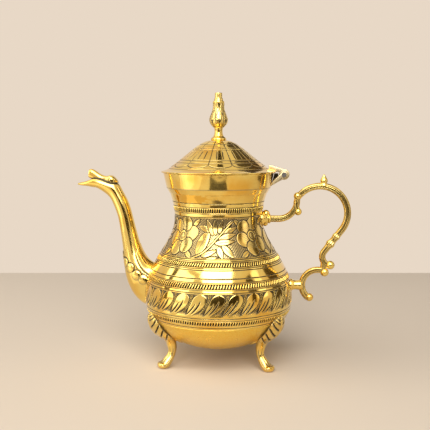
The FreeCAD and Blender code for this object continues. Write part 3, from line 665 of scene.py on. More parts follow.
def leaf_relief(angle, height):
    """A row of slanting leaves with two cuts in each, and dark dotted strips between them."""
    share = leaf_share(height)
    across = wrap(view_angle(angle) * LEAF_REPEATS / FULL_TURN - leaf_lean(share))
    tip = np.sqrt(np.clip(1 - np.clip((share - LEAF_TIP[0]) / LEAF_TIP[1], 0, 1) ** 2, 0, 1))
    edge = np.abs(across) - (LEAF_WIDTHS[0] + LEAF_WIDTHS[1] * smooth(0.0, 0.50, share)) * tip
    body = 1 - smooth(-0.05, 0.01, edge)
    relief = bpy.context.scene.pot_sizes.relief_depth / MM
    level = -relief * (1 - body) + body * (-LEAF_DOME * (across / 0.45) ** 2)
    dark = STRIP_SHADE * (1 - body) * smooth(0.05, 0.25, share)
    for offset, low, high, width in LEAF_CUTS:
        reach = span(share, (low, low + 0.16), (high - 0.30, high))
        cut = stroke(across - offset, width * (0.30 + 0.70 * reach)) * smooth(0, 0.2, reach)
        level = level - LEAF_CUT_DEPTH * cut
        dark = np.maximum(dark, cut)
    dark = np.maximum(dark, stroke(edge, 0.05) * OUTLINE_SHADE * smooth(0.02, 0.15, share))
    in_band = span(share, (0.0, 0.16), (0.97, 1.0))
    plain_level, plain_dark = plain_relief(angle, height)
    level = level * in_band + plain_level * (1 - in_band)
    return level, np.maximum(dark * in_band, plain_dark * (1 - in_band))


# Rows of points at a chased line, in half widths of it, and at a channel's edge, in millimetres from it
LINE_ROWS = (-1.35, -1.0, -0.5, 0.0, 0.5, 1.0, 1.35)
CHANNEL_ROWS = (-0.4, -0.25, -0.07, 0.1, 0.25)
LEAST_ROW_GAP = 0.07
INNER_ROWS = 6
INNER_SHADE = 0.12
WALL_SHARP_ANGLE = math.radians(65)


def wall_rows(low, high, step):
    """Heights of the rows in a ring of wall, with extra ones at its chased lines and channels."""
    heights = list(np.linspace(low, high, max(2, round((high - low) / step)) + 1))
    for middle, half_width in WALL_LINES:
        heights += [middle + half_width * share for share in LINE_ROWS]
    for middle, half_height in CHANNELS:
        for edge in (middle - half_height, middle + half_height):
            heights += [edge + offset for offset in CHANNEL_ROWS]
    rows = []
    for height in sorted(height for height in heights if low <= height <= high):
        if not rows or height - rows[-1] > LEAST_ROW_GAP:
            rows.append(height)
    rows[-1] = high
    return np.array(rows)


def wall_ring(name, low, high, step, columns, relief):
    """A closed ring of the body's wall, chased on its outside."""
    heights = wall_rows(low, high, step)
    angle = np.repeat(around(columns)[None, :], len(heights), axis=0)
    level, dark = relief(angle, np.repeat(heights[:, None], columns, axis=1))
    out, up = wall_normal(heights)
    outside = np.stack([wall_radius(heights), heights], axis=-1)
    outer = spin(outside, columns, (level * out[:, None], level * up[:, None]))
    inner_heights = np.linspace(high, low, INNER_ROWS)
    out, up = wall_normal(inner_heights)
    inside = np.stack([wall_radius(inner_heights) - SHEET * out, inner_heights - SHEET * up], axis=-1)
    inside[0, 1] = high
    inside[-1, 1] = low
    patina = np.concatenate([dark, np.full((INNER_ROWS, columns), INNER_SHADE)])
    mesh = to_mesh(name, [shell(np.concatenate([outer, spin(inside, columns)]), patina, ring=True)])
    mesh.set_sharp_from_angle(angle=WALL_SHARP_ANGLE)
    return mesh


# Small repeats, made by node trees

DASH_TREE = "Dash row"
BEAD_TREE = "Beads"
MARK_SIDES = 10
MARK_SEGMENTS = 4
MARK_DEPTH = 1.8
# Least and greatest stretch of a chisel mark, and the seed of its unevenness
MARK_STRETCH = ((0.85, 0.82, 0.9), (1.1, 1.12, 1.05))
MARK_SEED = 7


def new_tree(name, **inputs):
    """A geometry tree with named inputs, its way in and its way out."""
    tree = bpy.data.node_groups.new(name, "GeometryNodeTree")
    tree.interface.new_socket("Geometry", in_out="INPUT", socket_type="NodeSocketGeometry")
    for label, kind in inputs.items():
        label = label.replace("_", " ").title()
        tree.interface.new_socket(label, in_out="INPUT", socket_type=f"NodeSocket{kind}")
    tree.interface.new_socket("Geometry", in_out="OUTPUT", socket_type="NodeSocketGeometry")
    return tree, add_node(tree, "NodeGroupInput").outputs


def grow_piece(mesh, tree, material, body, slot, *nodes, **values):
    """Run a node tree on a starting mesh and keep its result as a plain piece."""
    piece = link_object(mesh)
    modifier = piece.modifiers.new(tree.name, "NODES")
    modifier.node_group = tree
    values["finish"] = material
    for item in tree.interface.items_tree:
        key = item.name.lower().replace(" ", "_")
        if item.in_out == "INPUT" and key in values:
            modifier[item.identifier] = values[key]
    settle(piece)
    return claim(piece, material, body, slot, *nodes)


def close_tree(tree, entry, sockets, centre=None):
    """Instances on points as real geometry, moved to their centre, with smooth faces and the finish."""
    spread = add_node(tree, "GeometryNodeInstanceOnPoints", sockets)
    last = add_node(tree, "GeometryNodeRealizeInstances", {"Geometry": spread.outputs["Instances"]})
    if centre is not None:
        moved = {"Geometry": last.outputs["Geometry"], "Translation": centre}
        last = add_node(tree, "GeometryNodeTransform", moved)
    last = add_node(tree, "GeometryNodeSetShadeSmooth", {"Geometry": last.outputs["Geometry"]})
    painted = {"Geometry": last.outputs["Geometry"], "Material": entry["Finish"]}
    last = add_node(tree, "GeometryNodeSetMaterial", painted)
    add_node(tree, "NodeGroupOutput", {"Geometry": last.outputs["Geometry"]})
    return tree


def dash_tree():
    """Chisel marks side by side round a ring, each leaning and lying on the wall's slope."""
    if DASH_TREE in bpy.data.node_groups:
        return bpy.data.node_groups[DASH_TREE]
    tree, entry = new_tree(
        DASH_TREE,
        count="Int",
        radius="Float",
        centre="Vector",
        turn="Vector",
        mark_size="Vector",
        finish="Material",
    )
    ring = add_node(tree, "GeometryNodeMeshCircle", {"Vertices": entry["Count"], "Radius": entry["Radius"]})
    shape = {"Vertices": MARK_SIDES, "Side Segments": MARK_SEGMENTS, "Radius": 1.0, "Depth": MARK_DEPTH}
    mark = add_node(tree, "GeometryNodeMeshCylinder", shape)
    place = add_node(tree, "GeometryNodeInputPosition")
    sockets = {"Vector": place.outputs["Position"]}
    face_out = add_node(tree, "FunctionNodeAlignRotationToVector", sockets, axis="X", pivot_axis="Z")
    lean = add_node(tree, "FunctionNodeEulerToRotation", {"Euler": entry["Turn"]})
    sockets = {"Rotation": face_out.outputs["Rotation"], "Rotate By": lean.outputs["Rotation"]}
    turned = add_node(tree, "FunctionNodeRotateRotation", sockets, rotation_space="LOCAL")
    stretch = {"Min": MARK_STRETCH[0], "Max": MARK_STRETCH[1], "Seed": MARK_SEED}
    uneven = add_node(tree, "FunctionNodeRandomValue", stretch, data_type="FLOAT_VECTOR")
    sockets = {0: entry["Mark Size"], 1: uneven.outputs["Value"]}
    size = add_node(tree, "ShaderNodeVectorMath", sockets, operation="MULTIPLY")
    return close_tree(tree, entry, {
        "Points": ring.outputs["Mesh"],
        "Instance": mark.outputs["Mesh"],
        "Rotation": turned.outputs["Rotation"],
        "Scale": size.outputs["Vector"],
    }, entry["Centre"])


def bead_tree():
    """A small bead on every point."""
    if BEAD_TREE in bpy.data.node_groups:
        return bpy.data.node_groups[BEAD_TREE]
    tree, entry = new_tree(BEAD_TREE, bead_radius="Float", finish="Material")
    bead = add_node(tree, "GeometryNodeMeshIcoSphere", {"Subdivisions": 1, "Radius": entry["Bead Radius"]})
    return close_tree(tree, entry, {"Points": entry["Geometry"], "Instance": bead.outputs["Mesh"]})


def add_beads(name, points, material, body, slot):
    """Beads at points given in millimetres round the pot's axis."""
    mesh = bpy.data.meshes.new(name)
    mesh.from_pydata(place_points(points), [], [])
    radius = bpy.context.scene.pot_sizes.bead_radius
    return grow_piece(mesh, bead_tree(), material, body, slot, bead_radius=radius)


def feet_tree():
    """One foot set several times round the pot."""
    inputs = {"count": "Int", "first_angle": "Float", "centre": "Vector", "finish": "Material"}
    tree, entry = new_tree("Ring of feet", **inputs)
    spots = add_node(tree, "GeometryNodePoints", {"Count": entry["Count"]})
    index = add_node(tree, "GeometryNodeInputIndex")
    step = add_node(tree, "ShaderNodeMath", {0: FULL_TURN, 1: entry["Count"]}, operation="DIVIDE")
    sockets = {0: index.outputs["Index"], 1: step.outputs["Value"], 2: entry["First Angle"]}
    turn = add_node(tree, "ShaderNodeMath", sockets, operation="MULTIPLY_ADD")
    euler = add_node(tree, "ShaderNodeCombineXYZ", {"Z": turn.outputs["Value"]})
    about = add_node(tree, "FunctionNodeEulerToRotation", {"Euler": euler.outputs["Vector"]})
    return close_tree(tree, entry, {
        "Points": spots.outputs["Points"],
        "Instance": entry["Geometry"],
        "Rotation": about.outputs["Rotation"],
    }, entry["Centre"])


# Lid

LID_PETALS = 12
LID_TURN = 0.07
LID_COLUMNS = 660
# Radius of the last ring of points at the crown
CROWN_RING = 0.25
LID_INNER_SHADE = 0.05
# Length of the plain crown and start of the chased part, down the lid, with the rows of points in each
CROWN_ROWS = (13.0, 10)
CHASED_ROWS = (13.4, 122)
# Rings round the lid: radius and half width
LID_RINGS = ((16.2, 0.34), (21.0, 0.34), (22.8, 0.34), (33.8, 0.36), (36.9, 0.36), (43.6, 0.40))
RING_SHADE = 0.85
# Radius where the petals' round ends begin, and how far they reach past it
PETAL_SHOULDER = 37.6
PETAL_ROUND = 3.9
PETAL_END_WIDTH = 0.42
# Radii where the lines between petals begin and end, and their half width
PETAL_SIDES = (7.5, 9.0)
PETAL_SIDES_END = 38.2
PETAL_SIDE_WIDTH = 0.36
PETAL_CUSHION = 0.22
# Place of the two strokes in each petal, and the radii where they begin and end
PETAL_STROKES = (-0.17, 0.17)
STROKE_RISE = (23.6, 25.6)
STROKE_FALL = (29.5, 33.0)
# Half width of a stroke at its ends, and how much wider it is in the middle
STROKE_WIDTHS = (0.28, 0.3)
LID_DOTS = 110
LID_DOT_RING = 21.9


def lid_profile():
    """Points down the outside of the lid from crown to brim, closer together where it is chased."""
    points = [(BRIM_RADIUS * out, BRIM_HEIGHT + LID_RISE * up) for out, up in LID_STATIONS]
    places = chord_places(points)
    brim = np.subtract(points[-1], points[-2])
    crown = np.linspace(0, *CROWN_ROWS)
    samples = np.concatenate([crown, np.linspace(CHASED_ROWS[0], places[-1], CHASED_ROWS[1])])
    return spline(places, points, samples, (1.0, 0.0), brim / np.linalg.norm(brim))


def lid_relief(angle, radius):
    """Round-ended petals with strokes in them, between rings."""
    dark = np.zeros_like(radius)
    for middle, half_width in LID_RINGS:
        dark = np.maximum(dark, stroke(radius - middle, half_width) * RING_SHADE)
    turn = wrap(view_angle(angle) * LID_PETALS / FULL_TURN - LID_TURN)
    pitch = radius * FULL_TURN / LID_PETALS
    petal_end = PETAL_SHOULDER + PETAL_ROUND * np.sqrt(np.clip(1 - (2 * turn) ** 2, 0, 1))
    dark = np.maximum(dark, stroke(radius - petal_end, PETAL_END_WIDTH))
    side = stroke((0.5 - np.abs(turn)) * pitch, PETAL_SIDE_WIDTH)
    dark = np.maximum(dark, side * smooth(*PETAL_SIDES, radius) * (radius < PETAL_SIDES_END))
    reach = span(radius, STROKE_RISE, STROKE_FALL)
    width = STROKE_WIDTHS[0] + STROKE_WIDTHS[1] * reach
    for lean in PETAL_STROKES:
        dark = np.maximum(dark, stroke((turn - lean) * pitch, width) * (reach > 0.02))
    cushion = PETAL_CUSHION * (1 - (2 * turn) ** 2) * smooth(10, 20, radius)
    cushion = cushion * (1 - smooth(0, 1.2, radius - petal_end))
    return cushion - bpy.context.scene.pot_sizes.line_depth / MM * dark, dark


# Finial: radius and height over the crown

FINIAL_SEAT = ((5.6, -0.7), (6.5, -0.3))
FINIAL_FOOT = ((6.9, 0.1), (6.6, 1.2), (5.0, 2.6), (3.8, 5.0), (3.6, 8.2), (3.9, 10.2))
FINIAL_BULB = ((4.6, 11.0), (6.9, 13.6), (7.9, 17.3), (6.6, 21.8), (4.9, 26.6), (4.7, 29.0), (4.9, 31.6))
FINIAL_CAP = ((5.2, 32.2), (5.0, 33.2), (4.1, 33.7), (3.9, 35.6), (3.3, 36.0), (3.2, 40.2), (2.9, 40.7))
FINIAL_COLUMNS = 144
FINIAL_FOOT_ROWS = 44
FINIAL_BULB_ROWS = 110
FINIAL_CAP_SHARES = (0.04, 0.5, 0.96)
# Tiers of carved leaves: lowest and highest place, and turn in leaves
LEAF_TIERS = ((19.0, 31.6, 0.0), (14.0, 26.0, 0.5), (10.6, 19.0, 0.0))
TIER_LEAVES = 7
CARVING_DEPTH = 0.7
FLUTES = 10
FLUTE_HEIGHTS = (33.6, 40.5)
FLUTE_SHADE = 0.35


def carved_leaves(angle, height):
    """Carved overlapping leaves: how far they stand out and the dark lines round them."""
    level = np.zeros_like(height)
    dark = np.zeros_like(height)
    for low, high, shift in LEAF_TIERS:
        share = (height - low) / (high - low)
        turn = wrap(angle * TIER_LEAVES / FULL_TURN + shift)
        width = 0.5 * np.clip(np.sin(math.pi * np.clip(0.18 + 0.82 * share, 0, 1)), 0, 1) ** 0.7
        edge = np.abs(turn) - width
        present = (share > 0) & (share < 1)
        body = (1 - smooth(-0.07, 0.0, edge)) * present
        level = np.where(present, level * (1 - body) + body * (0.5 - 1.1 * turn ** 2), level)
        barbs = stroke(wrap(share * 5 - np.abs(turn) * 1.6), 0.14) * (np.abs(turn) > 0.08)
        ribs = np.clip(stroke(turn, 0.05) + 0.7 * barbs, 0, 1)
        dark = np.where(present, dark * (1 - body) + body * ribs * 0.75, dark)
        dark = np.maximum(dark, stroke(edge, 0.06) * present * OUTLINE_SHADE)
    return level - 0.22 * dark, dark


# Cast pieces


def skin_rows(ovals, rows, columns, fullness=1.0):
    """Rows of points over a line of ovals, with their stations, angles and outward directions."""
    ovals = np.asarray(ovals, float)
    places = chord_places(ovals[:, 0])
    samples = np.linspace(0, places[-1], rows)
    flat = spline(places, ovals.reshape(len(ovals), 9), samples).reshape(rows, 3, 3)
    middle, sideways, upward = (flat[:, part][:, None, :] for part in range(3))
    angle = around(columns)
    across = np.sign(np.cos(angle)) * np.abs(np.cos(angle)) ** fullness
    above = np.sign(np.sin(angle)) * np.abs(np.sin(angle)) ** fullness
    grid = middle + sideways * across[None, :, None] + upward * above[None, :, None]
    away = grid - middle
    away = away / np.maximum(np.linalg.norm(away, axis=2, keepdims=True), 1e-6)
    return grid, np.interp(samples, places, np.arange(len(ovals))), angle, away


def grid_tree(grid):
    """A search tree of a grid's points."""
    places = grid.reshape(-1, 3)
    tree = KDTree(len(places))
    for index, place in enumerate(places):
        tree.insert(place, index)
    tree.balance()
    return tree


def contact_shade(rows, other, reach):
    """Painted shade on rows of points where they meet another skin."""
    tree = grid_tree(other)
    gaps = np.array([tree.find(place)[2] for place in rows.reshape(-1, 3)])
    return 1 - smooth(reach * 0.45, reach, gaps.reshape(rows.shape[:2]))


BALL_ROWS = 15
BALL_COLUMNS = 28
# Turn from a ball's middle to its last ring of points, in radians
BALL_REACH = 1.45


def ball(centre, radius):
    """A round bead of the casting."""
    turn = np.linspace(-BALL_REACH, BALL_REACH, BALL_ROWS)[:, None]
    angle = around(BALL_COLUMNS)[None, :]
    level = np.sin(turn) * np.ones_like(angle)
    grid = np.stack([np.cos(turn) * np.cos(angle), np.cos(turn) * np.sin(angle), level], axis=-1)
    return shell(np.asarray(centre) + radius * grid)


# Spout

SPOUT_ROOT_HEIGHT = 70.0
SPOUT_ROOT = wall_at(SPOUT_ROOT_HEIGHT)
SPOUT_WALL = 1.8
# Inner edge and outer edge as (out from the belly, up from the root), and half the width
SPOUT_SECTIONS = (
    ((-14.9, 15.5), (-14.9, -19.0), 13.0),
    ((-5.5, 19.1), (2.2, -18.3), 13.0),
    ((0.8, 25.0), (15.8, -2.8), 12.0),
    ((4.4, 31.5), (20.1, 13.0), 10.2),
    ((7.1, 39.5), (21.8, 30.5), 8.4),
    ((10.3, 51.3), (23.9, 47.0), 7.1),
    ((13.2, 63.0), (26.3, 60.6), 6.6),
    ((17.1, 75.2), (30.1, 71.3), 6.5),
    ((22.0, 84.6), (33.9, 78.3), 6.5),
    ((25.7, 90.5), (38.6, 82.4), 6.8),
    ((32.6, 93.3), (44.6, 86.0), 6.6),
)
LOWER_BILL_SECTIONS = (
    ((44.6, 96.0), (49.2, 86.9), 6.0),
    ((50.6, 94.6), (53.4, 87.7), 5.3),
    ((56.2, 92.4), (57.2, 88.1), 4.2),
    ((60.6, 91.2), (61.0, 88.6), 2.7),
    ((62.4, 90.7), (62.6, 89.0), 1.7),
)
TROUGH_SECTIONS = (
    ((45.8, 95.0), (47.8, 89.4), 4.1),
    ((52.4, 97.2), (54.0, 90.0), 3.5),
    ((58.0, 97.0), (58.6, 90.6), 2.4),
    ((64.0, 96.6), (64.2, 91.6), 1.1),
)
UPPER_BILL_SECTIONS = (
    ((25.7, 92.6), (26.3, 89.4), 2.4),
    ((28.4, 95.8), (28.8, 88.8), 4.8),
    ((31.9, 97.8), (32.6, 88.4), 5.7),
    ((35.6, 97.2), (36.6, 88.8), 5.0),
    ((39.0, 97.7), (40.6, 89.8), 4.4),
    ((43.2, 99.8), (45.2, 91.6), 4.0),
    ((47.4, 102.6), (49.2, 94.0), 3.8),
    ((50.7, 103.3), (51.8, 95.4), 3.6),
    ((51.6, 103.0), (52.4, 95.8), 3.4),
)
# Rows and columns of points
SPOUT_GRID = (420, 150)
BORE_GRID = (200, 64)
BILL_GRID = (130, 72)
BILL_FULLNESS = 0.70
# How far the painted shade reaches from where the bill and the head meet, and how dark the painted shade
# under the bill is
BILL_SHADE_REACH = 1.3
BILL_PAINTED_SHADE = 0.85
HEAD_STATION = 8.0
EYE_PLACE = (32.4, 93.6)
EYE_SPREAD = 5.0
EYE_RADIUS = 1.1
# Round lobes of the calyx: place along the spout, in sections, and degrees round it from its outer edge
CALYX_LOBES = ((3.72, 0.0), (3.29, 42.0), (2.71, 72.0), (1.88, 90.0), (1.30, 100.0))
CALYX_END = (0.3, 116.0)
CALYX_LIFT = 0.45
LOBE_RADIUS = 4.5
LOBE_LIFT = 0.55
LOBE_SHADE = 0.4
SECTION_LENGTH = 13.0
TONGUE_TIP = 3.62
TONGUE_HALF_ANGLE = 61.0
# Length of a degree round the tongue
DEGREE_LENGTH = 0.19
TONGUE_CUT_RISE = (1.3, 1.6)
TONGUE_CUT_FALL = (2.2, 2.5)
SEAM_DEPTH = 0.35
SEAM_AND_CONTACT_SHADE = 0.8
TONGUE_CUT_DEPTH = 0.2
TONGUE_CUT_SHADE = 0.7
# The pot's body as a cutter: lowest and highest height, rows, columns, and how far it stands off the wall
CORE_HEIGHTS = (20.0, 150.0, 120)
CORE_COLUMNS = 256
CORE_GAP = 0.05
# Distance in metres within which a cut face keeps the patina and painted shade of the whole spout, and the
# shade of the bore
PATINA_REACH = 0.0004
BORE_SHADE = 0.1
SPOUT_SHARP_ANGLE = math.radians(50)
BILL_SHARP_ANGLE = math.radians(48)


def spout_place(place, aside=0.0):
    """A place given as (out from the belly, up from the root) on the spout's side of the pot."""
    return np.array((-SPOUT_ROOT - place[0], aside, SPOUT_ROOT_HEIGHT + place[1]))


def spout_ovals(sections, inset=0.0):
    """Ovals between the inner and the outer edge of each section."""
    ovals = []
    for inner, outer, half_width in sections:
        centre = (spout_place(inner) + spout_place(outer)) / 2
        half = spout_place(outer) - centre
        half = half * (1 - inset / np.linalg.norm(half))
        ovals.append((centre, (0.0, half_width - inset, 0.0), half))
    return ovals


def spout_relief(grid, station, angle):
    """A calyx of round lobes at the root and a smooth tongue up the inner side."""
    from_outer = np.abs((np.degrees(angle) - 90.0 + 180.0) % 360.0 - 180.0)
    line_station, line_turn = np.transpose(CALYX_LOBES + (CALYX_END,))
    line = np.interp(from_outer, line_turn, line_station)
    edge = (station[:, None] - line[None, :]) * SECTION_LENGTH
    dome = np.zeros_like(edge)
    lobe_ring = np.zeros_like(edge)
    for lobe_station, lobe_turn in CALYX_LOBES:
        row = int(np.abs(station - lobe_station).argmin())
        for side in (-1, 1):
            column = round((90.0 + side * lobe_turn) / 360.0 * len(angle)) % len(angle)
            gap = np.linalg.norm(grid - grid[row, column], axis=2)
            edge = np.minimum(edge, gap - LOBE_RADIUS)
            dome = np.maximum(dome, np.clip(1 - (gap / LOBE_RADIUS) ** 2, 0, 1))
            lobe_ring = np.maximum(lobe_ring, stroke(gap - LOBE_RADIUS + 0.2, 0.6))
    calyx = 1 - smooth(-0.6, 0.1, edge)
    rim = stroke(edge, 0.62)
    reach = TONGUE_HALF_ANGLE * np.clip((TONGUE_TIP - station) / 0.6, 0, 1) ** 0.35
    across = (180.0 - from_outer[None, :] - reach[:, None]) * DEGREE_LENGTH
    below_tip = (station < TONGUE_TIP + 0.02)[:, None]
    clear = edge > -0.4
    tongue = (1 - smooth(-0.8, 0.0, across)) * below_tip
    seam = stroke(across, 0.6) * below_tip * clear
    inner_cut = stroke(across + 0.45 * DEGREE_LENGTH * reach[:, None], 0.5) * clear
    inner_cut = inner_cut * span(station, TONGUE_CUT_RISE, TONGUE_CUT_FALL)[:, None]
    level = CALYX_LIFT * np.maximum(calyx, tongue) + LOBE_LIFT * dome
    level = level - SEAM_DEPTH * np.maximum(rim, seam) - TONGUE_CUT_DEPTH * inner_cut
    shades = [rim, seam * SEAM_AND_CONTACT_SHADE, inner_cut * TONGUE_CUT_SHADE, lobe_ring * LOBE_SHADE]
    return level, np.maximum.reduce(shades) * (station > CALYX_END[0])[:, None]


# Handle: places are (out from the belly, height)

HANDLE_LOWER_HEIGHT = 71.3
HANDLE_UPPER_HEIGHT = 130.2
HANDLE_ROOT = wall_at(HANDLE_LOWER_HEIGHT)
HANDLE_NECK = wall_at(HANDLE_UPPER_HEIGHT) - HANDLE_ROOT
ROD_RADIUS = 3.0
ROD_COLUMNS = 72
STEM_COLUMNS = 40
TURNED_COLUMNS = 48
BUD_COLUMNS = 36
ARM_ROWS = 96
MAIN_ROWS = 220
LOOP_ROWS = 120
STEM_ROWS = 24
# Rod radii at the start and the end of the arm and the loop, and at the ends of the main rod with its swell
ARM_TAPER = (1.02, 0.92)
LOOP_TAPER = (0.9, 1.0)
MAIN_TAPER = (0.94, 0.10)
ARM_BEND_OUT = -11.6
ARM_BEND_RADIUS = 16.2
ARM_END = (5.0, 149.8)
ARM_SINK = 0.3
ARCH_CENTRE = (24.7, 135.4)
ARCH_RADIUS = 23.8
ARCH_START_ANGLE = 144.0
ARCH_END_ANGLE = -38.5
CURL_CENTRE = (35.1, 97.0)
CURL_RADIUS = 7.9
CURL_END_ANGLE = 265.0
LINK_ANGLE = 215.0
LOOP_CENTRE = (23.6, 71.3)
LOOP_RADIUS = 13.9
LOOP_ANGLES = (72.0, 232.0)
STEM_PATH = ((5.6, 136.8), (4.2, 140.6), (3.8, 144.6), ARM_END)
STEM_RADIUS = 2.5
# Swellings of the main rod: height in rod radii, share of the way along it, and width
ROD_KNOTS = ((0.20, 0.713, 0.012), (0.34, 0.783, 0.018))
HANDLE_BALLS = (
    ((-22.6, 134.6), 3.4),
    ((-23.2, 126.0), 2.5),
    ((5.6, 136.6), 3.3),
    ((5.0, 150.3), 3.5),
    ((34.3, 89.6), 3.9),
    ((29.4, 83.1), 3.8),
    ((16.4, 60.4), 3.6),
)
# Turned ends and the bud: radius and distance along
FLANGE = ((6.2, -0.8), (6.1, 0.4), (5.4, 1.4), (4.9, 2.8), (4.2, 4.4), (3.9, 5.2), (4.3, 6.0), (3.4, 7.4))
STUB = ((5.6, -0.8), (5.5, 0.6), (4.6, 1.8), (4.1, 3.4), (4.3, 6.0), (4.4, 8.6), (3.6, 10.6))
BUD = (
    (3.6, -1.2),
    (3.3, 0.3),
    (2.9, 1.1),
    (2.9, 1.8),
    (3.2, 2.8),
    (3.2, 4.0),
    (2.5, 5.6),
    (1.4, 7.4),
    (0.9, 8.3),
    (0.3, 8.9),
)
BUD_ASIDE = 3.0
# Groove of the rods, in radians from the side: where it ends, and place and half width of its dark edge
GROOVE_END = (0.28, 0.62)
GROOVE_EDGE = (0.52, 0.13)
GROOVE_SHADE = 0.05
GROOVE_EDGE_SHADE = 0.55


def arc(centre, radius, first, last, count):
    """Places along an arc, as (out, height)."""
    turn = np.radians(np.linspace(first, last, count))
    return np.stack([centre[0] + radius * np.cos(turn), centre[1] + radius * np.sin(turn)], axis=-1)


def even_path(pieces, count):
    """One path through several runs, with evenly spaced points."""
    path = np.concatenate(pieces)
    path = path[np.concatenate([[True], np.linalg.norm(np.diff(path, axis=0), axis=1) > 1e-4])]
    places = chord_places(path)
    samples = np.linspace(0, places[-1], count)
    return np.stack([np.interp(samples, places, path[:, axis]) for axis in (0, 1)], axis=-1)


def swept(path, radius, columns, groove=0.0):
    """A rod along a path in the handle's plane, with a groove along each side."""
    places = np.stack([HANDLE_ROOT + path[:, 0], np.zeros(len(path)), path[:, 1]], axis=-1)
    tangent = np.gradient(places, axis=0)
    tangent /= np.linalg.norm(tangent, axis=1, keepdims=True)
    side = np.stack([tangent[:, 2], np.zeros(len(path)), -tangent[:, 0]], axis=-1)
    angle = around(columns)
    from_side = np.arcsin(np.abs(np.cos(angle)))
    channel = (1 - smooth(*GROOVE_END, from_side)) * (groove > 0)
    reach = np.asarray(radius)[:, None] * (1 - groove * channel[None, :])
    grid = places[:, None, :] + side[:, None, :] * (reach * np.cos(angle)[None, :])[..., None]
    grid[..., 1] += reach * np.sin(angle)[None, :]
    edge = stroke(from_side - GROOVE_EDGE[0], GROOVE_EDGE[1]) * GROOVE_EDGE_SHADE * (groove > 0)
    darkening = np.maximum(channel * GROOVE_SHADE, edge)
    return shell(grid, np.repeat(darkening[None, :], len(path), axis=0))


def turned_at(place, direction, profile, columns):
    """A turned form with a smooth profile, at a place in the handle's plane and along a direction in it."""
    profile = curve(profile, 6 * len(profile))
    along = np.array((direction[0], 0.0, direction[1]))
    side = np.array((along[2], 0.0, -along[0]))
    angle = around(columns)[:, None]
    centre = np.array((HANDLE_ROOT + place[0], 0.0, place[1]))
    ring = side[None, :] * np.cos(angle) + np.array((0.0, 1.0, 0.0))[None, :] * np.sin(angle)
    radius = profile[:, 0][:, None, None]
    return shell(centre + along[None, None, :] * profile[:, 1][:, None, None] + ring[None] * radius)


# Feet

# Height on the bowl, half width and how far the knee stands out
KNEE_SECTIONS = (
    (51.0, 1.6, 1.0),
    (49.2, 6.0, 2.6),
    (46.5, 9.0, 4.3),
    (41.0, 11.2, 6.2),
    (35.0, 11.2, 6.2),
    (30.0, 9.2, 5.4),
)
# Place out from the circle of the feet, height, lean in degrees, half width and half thickness
LEG_SECTIONS = (
    (-4.7, 21.8, -20.0, 4.8, 4.3),
    (-5.6, 16.0, 0.0, 3.8, 3.5),
    (-3.8, 10.2, 24.0, 3.9, 3.4),
    (-0.4, 5.6, 45.0, 4.8, 4.1),
    (3.4, 3.0, 62.0, 5.5, 3.8),
    (6.3, 3.0, 76.0, 4.6, 3.0),
    (8.0, 3.1, 84.0, 2.4, 1.7),
)
FOOT_CIRCLE = 50.0
FOOT_FIRST_ANGLE = -150.0
FOOT_COUNT = 3
FOOT_GRID = (190, 88)
# Pad that solders a foot under the bowl: middle, half sizes, rows and columns of points
PAD_MIDDLE = 40.5
PAD_HALF_LENGTH = 7.0
PAD_HALF_WIDTH = 4.4
PAD_HALF_HEIGHT = 1.5
PAD_ROWS = 18
PAD_COLUMNS = 36
SOLDER_SINK = 0.4


def foot_ovals():
    """Ovals down one foot that stands out along +X, from its knee to its toe."""
    ovals = []
    for height, width, rise in KNEE_SECTIONS:
        out, up = wall_normal(height)
        ovals.append(((wall_at(height), 0.0, height), (0.0, width, 0.0), (out * rise, 0.0, up * rise)))
    for out, height, lean, width, thickness in LEG_SECTIONS:
        turn = math.radians(lean)
        upward = (math.cos(turn) * thickness, 0.0, math.sin(turn) * thickness)
        ovals.append(((FOOT_CIRCLE + out, 0.0, height), (0.0, width, 0.0), upward))
    return ovals


